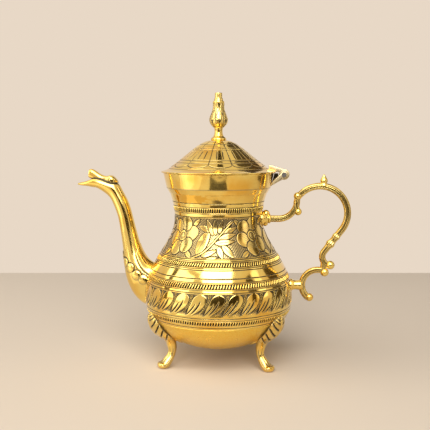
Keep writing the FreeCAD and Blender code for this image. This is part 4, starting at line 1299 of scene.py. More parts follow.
def foot_shells():
    """One foot: a leaf knee with cut veins, a slender leg and a spoon toe."""
    grid, station, angle, away = skin_rows(foot_ovals(), *FOOT_GRID)
    station = station[:, None] * np.ones_like(angle)[None, :]
    crest = np.abs((angle - math.pi / 2 + math.pi) % FULL_TURN - math.pi)[None, :] * np.ones_like(station)
    on_knee = span(station, (0.2, 0.9), (4.6, 5.6))
    on_leg = span(station, (6.0, 7.2), (10.6, 11.4))
    toe = smooth(8.6, 10.0, station)
    outside = 1 - smooth(1.35, 1.62, crest)
    vein = wrap((station + 1.05 * (crest / 1.5)) * 1.28 + 0.1)
    rib = stroke(crest, 0.13) * on_knee
    hollow = stroke(crest, 0.95) * toe * (1 - smooth(11.0, 11.8, station))
    # Each feature with how far it stands out and its patina; the last three are painted shade, not patina:
    # darker leg sides, a darker knee face and the knee's dark back against the bowl
    features = (
        (stroke(vein, 0.20) * smooth(0.10, 0.22, crest) * on_knee * outside, -0.85, 0.95),
        (rib, 0.35, 0.0),
        (stroke(crest - 1.42, 0.16) * on_knee, 0.55, 0.0),
        (hollow, -0.55, 0.15),
        (stroke(wrap(crest * 3.4 + 0.5), 0.20) * hollow, -0.2, 0.7),
        (stroke(crest, 0.5) * smooth(5.6, 6.6, station) * (1 - toe), 0.3, 0.0),
        (stroke(wrap(crest * 1.25 + 0.35), 0.13) * on_leg * (1 - smooth(1.7, 2.1, crest)), -0.18, 0.75),
        # Painted shade: darker leg sides, a darker knee face and the knee's dark back where it meets the bowl
        (on_leg * smooth(0.8, 1.5, crest), 0.0, 0.16),
        (on_knee * outside * (1 - rib), 0.0, 0.10),
        ((1 - outside) * on_knee, 0.0, 0.8),
    )
    level = sum(rise * amount for amount, rise, shade in features)
    dark = np.maximum.reduce([shade * amount for amount, rise, shade in features])
    grid = grid + away * level[..., None]
    seat_into_bowl(grid)
    grid[..., 2] = np.maximum(grid[..., 2], 0.0)
    turn = np.linspace(-1.5, 1.5, PAD_ROWS)[:, None]
    pad_angle = around(PAD_COLUMNS)[None, :]
    out = PAD_MIDDLE + PAD_HALF_LENGTH * np.sin(turn) * np.ones_like(pad_angle)
    aside = PAD_HALF_WIDTH * np.cos(turn) * np.cos(pad_angle)
    under = BELLY_HEIGHT - BOWL_DEPTH * np.sqrt(1 - (np.hypot(out, aside) / BELLY_RADIUS) ** 2)
    pad = np.stack([out, aside, under + PAD_HALF_HEIGHT * np.cos(turn) * np.sin(pad_angle)], axis=-1)
    seat_into_bowl(pad)
    return [shell(grid, dark), shell(pad)]


def seat_into_bowl(grid):
    """Keep a casting's back just inside the bowl's outer face, where it is soldered."""
    centre = np.array((0.0, 0.0, BELLY_HEIGHT))
    depth = np.linalg.norm((grid - centre) / np.array((BELLY_RADIUS, BELLY_RADIUS, BOWL_DEPTH)), axis=2)
    limit = 1 - SOLDER_SINK / BOWL_DEPTH
    push = np.where((depth < limit) & (grid[..., 2] < BELLY_HEIGHT), limit / np.maximum(depth, 1e-6), 1.0)
    grid[...] = centre + (grid - centre) * push[..., None]


# Hinge

PIN_PLACE = (PIN_X, PIN_Z)
BARREL_RADIUS = 4.6
BARREL_TOP = PIN_Z + BARREL_RADIUS
STRAP_HALF_WIDTH = 3.3
STRAP_EDGE = 0.45
CHEEK_RADIUS = 2.8
CHEEK_HALF_WIDTH = 0.8
CHEEK_SPREAD = 4.3
CHEEK_EDGE = 0.3
HINGE_BOTTOM = PIN_Z - 10.4
HINGE_ROOT = wall_at(HINGE_BOTTOM) + 1.2
WEB_HALF_WIDTH = 3.6
SHADE_PLATE_RADIUS = 5.2
SHADE_PLATE_HALF_WIDTH = 2.6
# Outlines as (out from the axis, height)
STRAP_OUTLINE = (
    (44.2, 172.6),
    (50.6, 171.7),
    (53.6, 171.2),
    *arc(PIN_PLACE, BARREL_RADIUS, 158, 450, 30),
    (46.8, BARREL_TOP + 3.4),
    (44.4, BARREL_TOP + 3.6),
)
CHEEK_OUTLINE = (
    (HINGE_ROOT, HINGE_BOTTOM),
    *arc(PIN_PLACE, CHEEK_RADIUS, -60, 120, 16),
    (HINGE_ROOT + 1.2, PIN_Z - 6.8),
)
WEB_OUTLINE = (
    (HINGE_ROOT, HINGE_BOTTOM),
    (HINGE_ROOT + 6.4, HINGE_BOTTOM + 4.6),
    (HINGE_ROOT + 5.5, HINGE_BOTTOM + 5.9),
    (HINGE_ROOT, HINGE_BOTTOM + 2),
)
# A dark plate of painted shade that fills the gap between the strap and the bracket
SHADE_PLATE_OUTLINE = (
    (HINGE_ROOT + 1.0, HINGE_BOTTOM + 1.5),
    (HINGE_ROOT + 6.0, HINGE_BOTTOM + 5.0),
    *arc(PIN_PLACE, SHADE_PLATE_RADIUS, 250, 170, 8),
    (49.2, 170.2),
)
EDGE_SEGMENTS = 3
BEVEL_ANGLE = math.radians(35)
PLATE_SHARP_ANGLE = math.radians(32)


def plate(outline, half_width, aside=0.0, shade=0.0):
    """A flat casting across the hinge with the given outline."""
    count = len(outline)
    points = [(x, side * half_width + aside, z) for side in (-1, 1) for x, z in outline]
    faces = [tuple(range(count)), tuple(range(2 * count - 1, count - 1, -1))]
    for index in range(count):
        beside = (index + 1) % count
        faces.append((index, index + count, beside + count, beside))
    return np.array(points), faces, np.full(len(points), shade)


def soften(piece, width):
    """Rounded edges on a flat casting."""
    bevel = piece.modifiers.new("Rounded edges", "BEVEL")
    bevel.width = width * MM
    bevel.segments = EDGE_SEGMENTS
    bevel.limit_method = "ANGLE"
    bevel.angle_limit = BEVEL_ANGLE
    mesh = settle(piece)
    mesh.polygons.foreach_set("use_smooth", [True] * len(mesh.polygons))
    mesh.set_sharp_from_angle(angle=PLATE_SHARP_ANGLE)


# What a user of the sidebar may change


def length_property(name, description, default):
    """A length in the sidebar."""
    return bpy.props.FloatProperty(
        name=name, description=description, default=default, unit="LENGTH", precision=5
    )


def share_property(name, description, default, low=0.0, high=1.0):
    """A share in the sidebar."""
    return bpy.props.FloatProperty(
        name=name, description=description, default=default, min=low, max=high, subtype="FACTOR"
    )


def colour_property(name, description, default):
    """A colour in the sidebar."""
    return bpy.props.FloatVectorProperty(
        name=name, description=description, default=default, min=0, max=1, subtype="COLOR"
    )


class PotSizes(bpy.types.PropertyGroup):
    """Depths and sizes of the chased work"""

    line_depth: length_property("Line depth", "Depth of the chased lines", 0.00028)
    relief_depth: length_property("Relief depth", "Depth of the ground between flowers and leaves", 0.00035)
    channel_depth: length_property("Channel depth", "Depth of the channels of the chisel marks", 0.0003)
    mark_width: share_property("Mark width", "Share of its pitch that a bright mark takes", 0.24, 0.1, 0.5)
    bead_radius: length_property("Bead radius", "Size of the beads in the dotted strips", 0.00036)
    groove: share_property(
        "Handle groove", "Depth of the groove along the handle, as a share of its radius", 0.16, 0.0, 0.3
    )


class PotFinish(bpy.types.PropertyGroup):
    """Colours and gloss of the pot and of the studio"""

    polished: colour_property("Polished brass", "Colour of the body and the lid", (0.94, 0.70, 0.18))
    satin: colour_property("Satin brass", "Colour of the lower bowl", (0.88, 0.62, 0.12))
    cast: colour_property("Cast brass", "Colour of the spout, handle, feet and finial", (0.92, 0.68, 0.18))
    amber: colour_property("Amber drift", "Warmer tone that the brass drifts to", (0.84, 0.46, 0.045))
    pale: colour_property("Pale brass", "Colour of the hinge", (0.66, 0.55, 0.33))
    # The tarnish and patina colours also paint the shade on the bowl's underside, the feet, the bill and the
    # hinge
    tarnish_and_shade_tone: colour_property("Tarnish", "Grey tone of worn ground between the cut lines", (0.42, 0.33, 0.16))
    patina: colour_property("Patina", "Dark tone in cut lines", (0.018, 0.014, 0.008))
    steel: colour_property("Steel", "Colour of pin, stud, washer and nut", (0.20, 0.19, 0.18))
    floor: colour_property("Floor", "Colour of the floor", (0.74, 0.64, 0.53))
    wall: colour_property("Wall", "Colour of the room round the pot", (0.807, 0.687, 0.565))
    card: colour_property("Card", "Colour of the cards that the polish mirrors", (0.03, 0.02, 0.012))
    screen: colour_property("Screen", "Colour of the tall cards beside the pot", (0.10, 0.075, 0.04))
    polish: share_property("Polish", "Roughness of the polished brass", 0.10)
    satin_roughness: share_property("Satin", "Roughness of the satin brass", 0.34)
    cast_roughness: share_property("Castings", "Roughness of the cast brass", 0.12)


# Rings of the wall: name, lowest and highest height, step between rows, columns and pattern
WALL_RINGS = (
    ("neck_wall", 134.4, RIM_HEIGHT, 0.9, 900, plain_relief),
    ("flower_band_upper", 117.2, 134.4, 0.36, 1200, flower_relief),
    ("flower_band_lower", 101.1, 117.2, 0.36, 1200, flower_relief),
    ("shoulder_wall", 75.5, 101.1, 0.7, 1000, plain_relief),
    ("leaf_band", 54.6, 75.5, 0.40, 1280, leaf_relief),
    ("lower_wall", SEAM_HEIGHT, 54.6, 0.5, 1000, plain_relief),
)
MARK_SINK = 0.2
MARK_HALF_DEPTH = 0.34
MARK_LENGTH_SHARE = 0.56
DOT_SINK = 0.22
DOT_PITCH = 0.95
# How far the dotted strips stay from the foot and the top of their band, and two dots' places across a leaf
DOT_MARGINS = (2.0, 0.6)
DOT_OFFSETS = (0.46, 0.54)


class POT_OT_wall(bpy.types.Operator):
    """Body wall in chased rings, with its rows of chisel marks and dotted strips"""

    bl_idname = "pot.wall"
    bl_label = "Chased Wall"

    def execute(self, context):
        brass = finish("polished_brass")
        for ring in WALL_RINGS:
            add_piece(wall_ring(*ring), brass, "pot", "engraved_brass", "body_shell")
        self.add_marks(context, brass)
        self.add_dots(brass)
        return {"FINISHED"}

    def add_marks(self, context, brass):
        """Rows of bright chisel marks in their channels."""
        sizes = context.scene.pot_sizes
        for number, (height, length, count, lean) in enumerate(DASH_ROWS, 1):
            radius = wall_at(height)
            out, up = wall_normal(height)
            width = sizes.mark_width * FULL_TURN * radius / count
            grow_piece(
                bpy.data.meshes.new(f"chisel_marks_{number}"), dash_tree(), brass, "pot", "engraved_brass",
                count=count,
                radius=float(radius - MARK_SINK * out) * MM,
                centre=(AXIS_X, 0.0, float(height - MARK_SINK * up) * MM),
                turn=(math.radians(lean), -math.atan2(up, out), 0.0),
                mark_size=(MARK_HALF_DEPTH * MM, width * MM, MARK_LENGTH_SHARE * length * MM),
            )

    def add_dots(self, brass):
        """Two rows of beads in each strip between the leaves."""
        points = []
        low, high = LEAF_BAND
        for strip in range(LEAF_REPEATS):
            for height in np.arange(low + DOT_MARGINS[0], high - DOT_MARGINS[1], DOT_PITCH):
                out, up = wall_normal(height)
                radius = wall_at(height) - DOT_SINK * out
                for offset in DOT_OFFSETS:
                    turn = (strip + offset + leaf_lean(leaf_share(height))) * FULL_TURN / LEAF_REPEATS
                    angle = turn - math.pi / 2 + FACING
                    place = (radius * math.cos(angle), radius * math.sin(angle), height - DOT_SINK * up)
                    points.append(place)
        add_beads("leaf_dots", points, brass, "pot", "engraved_brass")


BOWL_ROWS = 60
BOWL_COLUMNS = 320
# Painted shade that darkens the bowl towards its bottom, standing for the pot's shadow mirrored in the satin,
# and how far it starts and ends over the bottom
UNDERSIDE_PAINTED_SHADE = 0.15
UNDERSIDE_REACH = (1.0, 17.0)


class POT_OT_bowl(bpy.types.Operator):
    """Satin lower bowl"""

    bl_idname = "pot.bowl"
    bl_label = "Lower Bowl"

    def execute(self, context):
        turn = np.linspace(0.02, math.asin(wall_at(SEAM_HEIGHT) / BELLY_RADIUS), BOWL_ROWS)
        outside = np.stack([BELLY_RADIUS * np.sin(turn), BELLY_HEIGHT - BOWL_DEPTH * np.cos(turn)], axis=-1)
        outside[-1, 1] = SEAM_HEIGHT
        back = turn[::-3]
        inside = np.stack([
            (BELLY_RADIUS - SHEET) * np.sin(back),
            BELLY_HEIGHT - (BOWL_DEPTH - SHEET) * np.cos(back),
        ], axis=-1)
        inner = inside[0, 0]
        lip_top = SEAM_HEIGHT + SEAM_LAP
        spread = wall_at(lip_top) - wall_at(SEAM_HEIGHT)
        lip = ((inner - 0.05, SEAM_HEIGHT), (inner - 0.6 + spread, lip_top), (inner - 1.6 + spread, lip_top))
        grid = spin(np.concatenate([outside, lip, inside[1:]]), BOWL_COLUMNS)
        start, end = UNDERSIDE_REACH
        # Painted shade: the bowl gets darker towards its bottom
        darkening = UNDERSIDE_PAINTED_SHADE * (1 - smooth(BOWL_BOTTOM + start, BOWL_BOTTOM + end, grid[..., 2]))
        mesh = to_mesh("lower_bowl", [shell(grid, darkening)])
        add_piece(mesh, finish("satin_brass"), "pot", "bowl_brass", "base_bowl")
        return {"FINISHED"}


COLLAR_COLUMNS = 360
# Shares of the way up the bevel and up the band where rows of points lie: first, last and how many
BEVEL_ROWS = (0.1, 0.88, 6)
BAND_ROWS = (0.08, 0.96, 10)
BEND_SHADE = 0.32
BEND_WIDTH = 0.42


class POT_OT_collar(bpy.types.Operator):
    """Plain polished collar round the mouth"""

    bl_idname = "pot.collar"
    bl_label = "Collar"

    def execute(self, context):
        bend = COLLAR_FOOT + COLLAR_BEVEL
        bend_radius = wall_at(bend) + COLLAR_SHOULDER
        rim = RIM_RADIUS + COLLAR_BAND
        foot = COLLAR_FOOT + 0.3
        foot_radius = wall_at(foot)
        low = np.array((foot_radius + 0.42, foot + 0.12))
        corner = np.array((bend_radius, bend))
        top = np.array((rim, RIM_HEIGHT))
        outline = [(foot_radius + 0.05, foot), (foot_radius + 0.3, foot), low]
        outline += [low + (corner - low) * share for share in np.linspace(*BEVEL_ROWS)]
        outline += [(bend_radius - 0.05, bend - 0.12), (bend_radius + 0.02, bend + 0.15)]
        outline += [corner + (top - corner) * share for share in np.linspace(*BAND_ROWS)]
        outline += [(rim - 0.03, RIM_HEIGHT - 0.18), (rim - 0.2, RIM_HEIGHT), (RIM_RADIUS + 0.05, RIM_HEIGHT)]
        grid = spin(outline, COLLAR_COLUMNS)
        dark = stroke(grid[..., 2] - bend, BEND_WIDTH) * BEND_SHADE
        mesh = to_mesh("mouth_collar", [shell(grid, dark, ring=True)])
        add_piece(mesh, finish("polished_brass"), "pot", "engraved_brass", "rim_collar")
        return {"FINISHED"}


class POT_OT_lid(bpy.types.Operator):
    """Domed lid with chased petals and a dotted ring"""

    bl_idname = "pot.lid"
    bl_label = "Lid"

    def execute(self, context):
        outside = lid_profile()[::-1]
        outside[-1, 0] = CROWN_RING
        tangent = np.gradient(outside, axis=0)
        tangent /= np.linalg.norm(tangent, axis=1, keepdims=True)
        normal = np.stack([tangent[:, 1], -tangent[:, 0]], axis=-1)
        angle = np.repeat(around(LID_COLUMNS)[None, :], len(outside), axis=0)
        level, dark = lid_relief(angle, np.repeat(outside[:, :1], LID_COLUMNS, axis=1))
        outer = spin(outside, LID_COLUMNS, (level * normal[:, :1], level * normal[:, 1:]))
        inside = (outside - normal * LID_SHEET)[::-9]
        inside[0, 0] = CROWN_RING
        inside[-1] = (BRIM_RADIUS - 0.1, BRIM_HEIGHT - LID_SHEET)
        edge = ((BRIM_RADIUS, BRIM_HEIGHT - 0.7), (BRIM_RADIUS, BRIM_HEIGHT - 0.25))
        inner = spin(np.concatenate([inside, edge]), LID_COLUMNS)
        patina = np.concatenate([np.full(inner.shape[:2], LID_INNER_SHADE), dark])
        mesh = to_mesh("lid_dome_chased", [shell(np.concatenate([inner, outer]), patina)])
        brass = finish("polished_brass")
        add_piece(mesh, brass, "lid", "engraved_brass", "lid_dome")
        height = float(np.interp(LID_DOT_RING, outside[::-1, 0], outside[::-1, 1]))
        dots = spin(((LID_DOT_RING, height - 0.05),), LID_DOTS)[0]
        add_beads("lid_dots", dots, brass, "lid", "engraved_brass")
        return {"FINISHED"}


class POT_OT_finial(bpy.types.Operator):
    """Cast finial with carved leaves"""

    bl_idname = "pot.finial"
    bl_label = "Finial"

    def execute(self, context):
        cap = np.asarray(FINIAL_CAP, float)
        cap_rows = [
            low + (high - low) * share
            for low, high in zip(cap, cap[1:])
            for share in FINIAL_CAP_SHARES
        ]
        profile = np.concatenate([
            FINIAL_SEAT,
            curve(FINIAL_FOOT, FINIAL_FOOT_ROWS),
            curve(FINIAL_BULB, FINIAL_BULB_ROWS),
            cap_rows,
        ])
        angle = np.repeat(around(FINIAL_COLUMNS)[None, :], len(profile), axis=0)
        height = np.repeat(profile[:, 1:2], FINIAL_COLUMNS, axis=1)
        level, dark = carved_leaves(angle, height)
        grid = spin(profile + np.array((0.0, CROWN_HEIGHT)), FINIAL_COLUMNS, (level * CARVING_DEPTH, 0.0))
        fluted = (height > FLUTE_HEIGHTS[0]) & (height < FLUTE_HEIGHTS[1])
        flutes = stroke(wrap(angle * FLUTES / FULL_TURN), 0.3) * fluted
        mesh = to_mesh("carved_finial", [shell(grid, np.maximum(dark, FLUTE_SHADE * flutes))])
        add_piece(mesh, finish("carved_brass"), "lid", "cast_brass", "finial")
        return {"FINISHED"}


class POT_OT_spout(bpy.types.Operator):
    """Hollow swan-neck spout with a bird's-beak lip"""

    bl_idname = "pot.spout"
    bl_label = "Spout"

    def execute(self, context):
        brass = finish("carved_brass")
        grid, station, angle, away = skin_rows(spout_ovals(SPOUT_SECTIONS + LOWER_BILL_SECTIONS), *SPOUT_GRID)
        level, dark = spout_relief(grid, station, angle)
        grid = grid + away * level[..., None]
        bill = skin_rows(spout_ovals(UPPER_BILL_SECTIONS), *BILL_GRID, BILL_FULLNESS)
        head = station > HEAD_STATION
        # Painted shade on the head where the upper bill meets it
        dark[head] = np.maximum(dark[head], contact_shade(grid[head], bill[0], BILL_SHADE_REACH) * SEAM_AND_CONTACT_SHADE)
        piece = add_piece(to_mesh("beaked_spout", [shell(grid, dark)]), brass, "pot", "cast_brass", "spout")
        bore_ovals = spout_ovals(SPOUT_SECTIONS, SPOUT_WALL) + spout_ovals(TROUGH_SECTIONS)
        bore = skin_rows(bore_ovals, *BORE_GRID)[0]
        heights = np.linspace(*CORE_HEIGHTS)
        core = spin(np.stack([wall_radius(heights) + CORE_GAP, heights], axis=-1), CORE_COLUMNS)
        for name, cutter in (("spout_bore", bore), ("pot_core", core)):
            self.cut_away(piece, link_object(to_mesh(name, [shell(cutter)])))
        self.keep_patina(piece.data, grid, dark)
        add_piece(self.bill_mesh(bill, grid[head]), brass, "pot", "cast_brass")
        return {"FINISHED"}

    def cut_away(self, piece, cutter):
        """Take a solid out of a piece."""
        cut = piece.modifiers.new("Hollow", "BOOLEAN")
        cut.operation = "DIFFERENCE"
        cut.solver = "EXACT"
        cut.object = cutter
        settle(piece)
        bpy.data.objects.remove(cutter)

    def keep_patina(self, mesh, grid, dark):
        """Carry the patina and painted shade from the whole tube over to the cut one."""
        tree = grid_tree(grid * MM + (AXIS_X, 0.0, 0.0))
        shade = dark.reshape(-1)
        if "patina" in mesh.attributes:
            mesh.attributes.remove(mesh.attributes["patina"])
        patina = mesh.attributes.new("patina", "FLOAT", "POINT")
        nearest = [tree.find(vertex.co) for vertex in mesh.vertices]
        values = [shade[index] if gap < PATINA_REACH else BORE_SHADE for place, index, gap in nearest]
        patina.data.foreach_set("value", values)
        mesh.polygons.foreach_set("use_smooth", [True] * len(mesh.polygons))
        mesh.set_sharp_from_angle(angle=SPOUT_SHARP_ANGLE)

    def bill_mesh(self, bill, head):
        """The upper bill with painted shade along its underside and where it meets the head, and two eyes."""
        rows, station, angle = bill[:3]
        # Painted shade along the bill's underside
        painted_shade_and_eye_rings = np.repeat(smooth(0.55, 0.9, np.sin(angle))[None, :], len(station), axis=0)
        painted_shade_and_eye_rings = np.maximum(painted_shade_and_eye_rings, contact_shade(rows, head, BILL_SHADE_REACH)) * BILL_PAINTED_SHADE
        shells = []
        for side in (-1, 1):
            eye = spout_place(EYE_PLACE, side * EYE_SPREAD)
            gap = np.linalg.norm(rows - eye, axis=2)
            painted_shade_and_eye_rings = np.maximum(painted_shade_and_eye_rings, stroke(gap - EYE_RADIUS - 0.1, 0.6))
            shells.append(ball(eye, EYE_RADIUS))
        mesh = to_mesh("upper_bill", [*shells, shell(rows, painted_shade_and_eye_rings)])
        mesh.set_sharp_from_angle(angle=BILL_SHARP_ANGLE)
        return mesh


class POT_OT_handle(bpy.types.Operator):
    """Cast scroll handle"""

    bl_idname = "pot.handle"
    bl_label = "Handle"

    def execute(self, context):
        shells = self.rods(context.scene.pot_sizes.groove)
        shells.append(turned_at((HANDLE_NECK, HANDLE_UPPER_HEIGHT), (1, 0), FLANGE, TURNED_COLUMNS))
        shells.append(turned_at((0.0, HANDLE_LOWER_HEIGHT), (1, 0), STUB, TURNED_COLUMNS))
        shells += [ball((HANDLE_ROOT + out, 0.0, height), radius) for (out, height), radius in HANDLE_BALLS]
        crown = ARCH_CENTRE[1] + math.sqrt(ARCH_RADIUS ** 2 - BUD_ASIDE ** 2) + ROD_RADIUS * 0.5
        shells.append(turned_at((ARCH_CENTRE[0] + BUD_ASIDE, crown), (0, 1), BUD, BUD_COLUMNS))
        mesh = to_mesh("scroll_handle", shells)
        add_piece(mesh, finish("carved_brass"), "pot", "cast_brass", "handle")
        return {"FINISHED"}

    def rods(self, groove):
        """The arm from the neck, the main scroll, the loop under it and the short stem."""
        bend_centre = (ARM_BEND_OUT, HANDLE_UPPER_HEIGHT + ARM_BEND_RADIUS)
        arm = even_path([
            ((HANDLE_NECK - ARM_SINK, HANDLE_UPPER_HEIGHT), (ARM_BEND_OUT, HANDLE_UPPER_HEIGHT)),
            arc(bend_centre, ARM_BEND_RADIUS, -90, 0, 40),
            (ARM_END,),
        ], ARM_ROWS)
        main = even_path([
            arc(ARCH_CENTRE, ARCH_RADIUS, ARCH_START_ANGLE, ARCH_END_ANGLE, 120),
            arc(CURL_CENTRE, CURL_RADIUS, 180 + ARCH_END_ANGLE, CURL_END_ANGLE, 40),
        ], MAIN_ROWS)
        loop = even_path([
            arc(CURL_CENTRE, CURL_RADIUS, LINK_ANGLE, LINK_ANGLE, 1),
            arc(LOOP_CENTRE, LOOP_RADIUS, *LOOP_ANGLES, 80),
        ], LOOP_ROWS)
        stem = even_path([STEM_PATH], STEM_ROWS)
        share = np.linspace(0, 1, MAIN_ROWS)
        knots = sum(height * np.exp(-((share - place) / width) ** 2) for height, place, width in ROD_KNOTS)
        main_radius = ROD_RADIUS * (MAIN_TAPER[0] + MAIN_TAPER[1] * np.sin(math.pi * share) + knots)
        return [
            swept(arm, ROD_RADIUS * np.linspace(*ARM_TAPER, ARM_ROWS), ROD_COLUMNS, groove),
            swept(main, main_radius, ROD_COLUMNS, groove),
            swept(loop, ROD_RADIUS * np.linspace(*LOOP_TAPER, LOOP_ROWS), ROD_COLUMNS, groove),
            swept(stem, np.full(STEM_ROWS, STEM_RADIUS), STEM_COLUMNS),
        ]


class POT_OT_feet(bpy.types.Operator):
    """Three cast feet with leaf knees and spoon toes"""

    bl_idname = "pot.feet"
    bl_label = "Feet"

    def execute(self, context):
        mesh = to_mesh("leaf_feet", foot_shells())
        mesh.transform(Matrix.Translation((-AXIS_X, 0, 0)))
        grow_piece(
            mesh, feet_tree(), finish("carved_brass"), "pot", "cast_brass",
            "foot_front_left", "foot_front_right", "foot_back",
            count=FOOT_COUNT,
            first_angle=math.radians(FOOT_FIRST_ANGLE),
            centre=(AXIS_X, 0.0, 0.0),
        )
        return {"FINISHED"}


class POT_OT_hinge(bpy.types.Operator):
    """Hinge: strap on the lid, bracket on the collar"""

    bl_idname = "pot.hinge"
    bl_label = "Hinge"

    def execute(self, context):
        pale = finish("pale_brass")
        strap = to_mesh("hinge_strap", [plate(STRAP_OUTLINE, STRAP_HALF_WIDTH)])
        soften(add_piece(strap, pale, "lid", "hinge_brass", "lid_hinge_strap"), STRAP_EDGE)
        cheeks = to_mesh("hinge_cheeks", [
            plate(CHEEK_OUTLINE, CHEEK_HALF_WIDTH, -CHEEK_SPREAD),
            plate(CHEEK_OUTLINE, CHEEK_HALF_WIDTH, CHEEK_SPREAD),
            plate(WEB_OUTLINE, WEB_HALF_WIDTH),
            # Painted shade: a fully dark plate in the gap between the cheeks
            plate(SHADE_PLATE_OUTLINE, SHADE_PLATE_HALF_WIDTH, shade=1.0),
        ])
        soften(add_piece(cheeks, pale, "pot", "hinge_brass", "hinge_bracket"), CHEEK_EDGE)
        return {"FINISHED"}


# Solids that are shown as they are
BRASS_NODES = ("spout_strainer", "upper_handle_washer", "lower_handle_washer", "lid_flange")
STEEL_NODES = ("hinge_pin", "finial_stud", "finial_washer", "finial_nut")


class POT_OT_inner_parts(bpy.types.Operator):
    """Finishes on the strainer, washers, bezel and fasteners"""

    bl_idname = "pot.inner_parts"
    bl_label = "Inner Parts"

    def execute(self, context):
        for nodes, name in ((BRASS_NODES, "satin_brass"), (STEEL_NODES, "dull_steel")):
            for node in nodes:
                for material_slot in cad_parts[node].material_slots:
                    material_slot.material = finish(name)
        return {"FINISHED"}


def flat_board(left, right, front, back, height):
    """Corners of a board that lies flat."""
    return (left, front, height), (right, front, height), (right, back, height), (left, back, height)


def upright_board(first, second, top):
    """Corners of a board that stands on the floor between two places."""
    return (*first, 0.0), (*second, 0.0), (*second, top), (*first, top)


# Boards of the studio, square to the camera: name, colour and corners. Only the floor is seen directly.
BOARDS = (
    ("floor", "floor", flat_board(-0.9, 0.9, -0.55, 0.42, 0.0)),
    ("low_card", "card", flat_board(-0.10, 0.10, -0.355, -0.245, 0.002)),
    ("high_card", "card", flat_board(-0.04, 0.10, 0.22, 0.10, 1.1)),
    ("right_card", "screen", upright_board((0.50, -0.02), (0.56, 0.22), 0.55)),
    ("far_right_card", "screen", upright_board((0.85, -0.75), (0.98, -0.55), 0.9)),
    ("left_card", "screen", upright_board((-0.80, 0.02), (-0.83, -0.12), 0.8)),
    ("front_screen", "screen", upright_board((0.60, -0.95), (-0.30, -0.95), 0.30)),
    ("front_mat", "card", flat_board(-0.13, 0.16, -0.95, -0.40, 0.002)),
    ("back_screen", "card", ((0.10, 0.50, 0.42), (0.45, 0.40, 0.42), (0.60, 0.30, 1.15), (0.24, 0.38, 1.15))),
)
BOARD_ROUGHNESS = 0.8
ROOM_LIGHT = 0.10
LAMP_COLOUR = (1.0, 0.97, 0.92)
POT_MIDDLE = (0.0, 0.0, 0.1)
PANEL_TARGET = (-0.50, -0.27, 1.0)
# Lamps: name, place, what they point at, width, height and power
LAMPS = (
    ("front_window", (0.16, -2.30, 1.80), POT_MIDDLE, 2.3, 2.3, 86.0),
    ("high_window", (-0.42, -0.42, 1.25), POT_MIDDLE, 1.70, 0.90, 6.5),
    ("left_window", (-2.20, -0.90, 0.90), POT_MIDDLE, 2.3, 1.9, 26.0),
    ("right_window", (2.30, -0.50, 0.90), POT_MIDDLE, 0.60, 1.60, 2.8),
    ("low_panel", (-0.50, -0.27, 0.004), PANEL_TARGET, 0.26, 0.20, 0.06),
    ("low_panel_wide", (-0.50, -0.27, 0.003), PANEL_TARGET, 0.44, 0.31, 0.16),
    ("low_panel_widest", (-0.50, -0.27, 0.002), PANEL_TARGET, 0.62, 0.42, 0.30),
)
CAMERA_DISTANCE = 0.61913
CAMERA_HEIGHT = 0.19919
CAMERA_ASIDE = -0.003126
CAMERA_PITCH = math.radians(6.1155)
SENSOR_WIDTH = 36.0
# Focal length and picture width, in the same unit
FOCAL_LENGTH = 700.0
PICTURE_WIDTH = 430.0


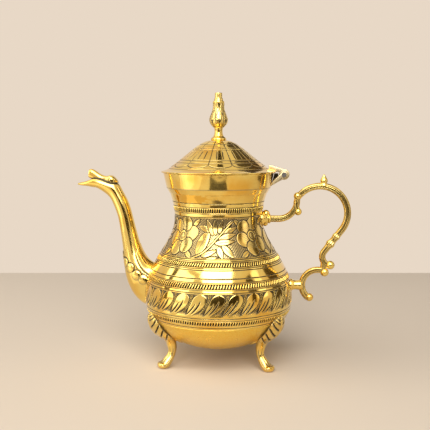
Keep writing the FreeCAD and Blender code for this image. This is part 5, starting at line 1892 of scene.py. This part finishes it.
class POT_OT_stage(bpy.types.Operator):
    """Pale floor, soft studio light and the camera"""

    bl_idname = "pot.stage"
    bl_label = "Studio"

    def execute(self, context):
        for name, colour, corners in BOARDS:
            board = self.add_board(name, getattr(context.scene.pot_finish, colour), corners)
            if name != "floor":
                board.visible_camera = False
                board.visible_diffuse = False
                board.visible_shadow = False
        self.add_world(context)
        for lamp in LAMPS:
            self.add_lamp(context, *lamp)
        self.add_camera(context)
        context.scene.view_settings.view_transform = "Standard"
        return {"FINISHED"}

    def add_board(self, name, colour, corners):
        """A flat board in one plain colour."""
        turn = Matrix.Rotation(FACING, 4, "Z")
        mesh = bpy.data.meshes.new(name)
        mesh.from_pydata([turn @ Vector(corner) for corner in corners], [], [(0, 1, 2, 3)])
        material = bpy.data.materials.new(name)
        material.use_nodes = True
        shader = material.node_tree.nodes["Principled BSDF"]
        shader.inputs["Base Color"].default_value = (*colour, 1)
        shader.inputs["Roughness"].default_value = BOARD_ROUGHNESS
        mesh.materials.append(material)
        board = link_object(mesh)
        board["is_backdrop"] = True
        return board

    def add_world(self, context):
        """A room that the camera and the polish see bright, and that lights the rest dimly."""
        colour = (*context.scene.pot_finish.wall, 1)
        world = bpy.data.worlds.new("studio")
        context.scene.world = world
        world.use_nodes = True
        tree = world.node_tree
        tree.nodes.clear()
        seen = add_node(tree, "ShaderNodeBackground", {"Color": colour})
        light = add_node(tree, "ShaderNodeBackground", {"Color": colour, "Strength": ROOM_LIGHT})
        path = add_node(tree, "ShaderNodeLightPath").outputs
        rays = {0: path["Is Camera Ray"], 1: path["Is Glossy Ray"]}
        either = add_node(tree, "ShaderNodeMath", rays, operation="MAXIMUM")
        rooms = {1: light.outputs["Background"], 2: seen.outputs["Background"]}
        choose = add_node(tree, "ShaderNodeMixShader", {"Fac": either.outputs["Value"], **rooms})
        add_node(tree, "ShaderNodeOutputWorld", {"Surface": choose.outputs["Shader"]})

    def add_lamp(self, context, name, place, target, width, height, power):
        """A rectangular lamp that the camera does not see."""
        lamp = bpy.data.lights.new(name, "AREA")
        lamp.shape = "RECTANGLE"
        lamp.size = width
        lamp.size_y = height
        lamp.energy = power
        lamp.color = LAMP_COLOUR
        holder = bpy.data.objects.new(name, lamp)
        holder.location = place
        holder.rotation_euler = (Vector(target) - Vector(place)).to_track_quat("-Z", "Y").to_euler()
        holder.visible_camera = False
        context.scene.collection.objects.link(holder)

    def add_camera(self, context):
        """The picture's own camera."""
        camera = bpy.data.cameras.new("camera")
        camera.sensor_width = SENSOR_WIDTH
        camera.lens = SENSOR_WIDTH * FOCAL_LENGTH / PICTURE_WIDTH
        holder = bpy.data.objects.new("camera", camera)
        right = Vector((math.cos(FACING), math.sin(FACING), 0.0))
        toward = Vector((math.sin(FACING), -math.cos(FACING), 0.0))
        middle = Vector((AXIS_X, 0.0, CAMERA_HEIGHT))
        holder.location = middle + toward * CAMERA_DISTANCE + right * CAMERA_ASIDE
        holder.rotation_euler = (math.pi / 2 - CAMERA_PITCH, 0.0, FACING)
        context.scene.collection.objects.link(holder)
        context.scene.camera = holder


class POT_PT_panel(bpy.types.Panel):
    """Sizes, finishes and steps of the pot"""

    bl_idname = "POT_PT_panel"
    bl_label = "Brass Pot"
    bl_space_type = "VIEW_3D"
    bl_region_type = "UI"
    bl_category = "Brass Pot"

    def draw(self, context):
        layout = self.layout
        for group in (context.scene.pot_sizes, context.scene.pot_finish):
            for key in group.bl_rna.properties.keys():
                if key not in ("rna_type", "name"):
                    layout.prop(group, key)
        for operator in OPERATORS:
            layout.operator(operator.bl_idname)


OPERATORS = (
    POT_OT_wall,
    POT_OT_bowl,
    POT_OT_collar,
    POT_OT_lid,
    POT_OT_finial,
    POT_OT_spout,
    POT_OT_handle,
    POT_OT_feet,
    POT_OT_hinge,
    POT_OT_inner_parts,
    POT_OT_stage,
)
CLASSES = (PotSizes, PotFinish, *OPERATORS, POT_PT_panel)


def register():
    """Add the operators, the panel and the settings."""
    for item in CLASSES:
        bpy.utils.register_class(item)
    bpy.types.Scene.pot_sizes = bpy.props.PointerProperty(type=PotSizes)
    bpy.types.Scene.pot_finish = bpy.props.PointerProperty(type=PotFinish)


def unregister():
    """Take the settings, the panel and the operators away."""
    del bpy.types.Scene.pot_finish
    del bpy.types.Scene.pot_sizes
    for item in reversed(CLASSES):
        bpy.utils.unregister_class(item)


def main():
    """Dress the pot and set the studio."""
    register()
    bpy.ops.pot.wall()
    bpy.ops.pot.bowl()
    bpy.ops.pot.collar()
    bpy.ops.pot.lid()
    bpy.ops.pot.finial()
    bpy.ops.pot.spout()
    bpy.ops.pot.handle()
    bpy.ops.pot.feet()
    bpy.ops.pot.hinge()
    bpy.ops.pot.inner_parts()
    bpy.ops.pot.stage()
    boxes = {"cad": CAD_BOX, "visual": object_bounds()}
    plain = {key: [[float(value) for value in corner] for corner in box] for key, box in boxes.items()}


if __name__ == "__main__":
    main()
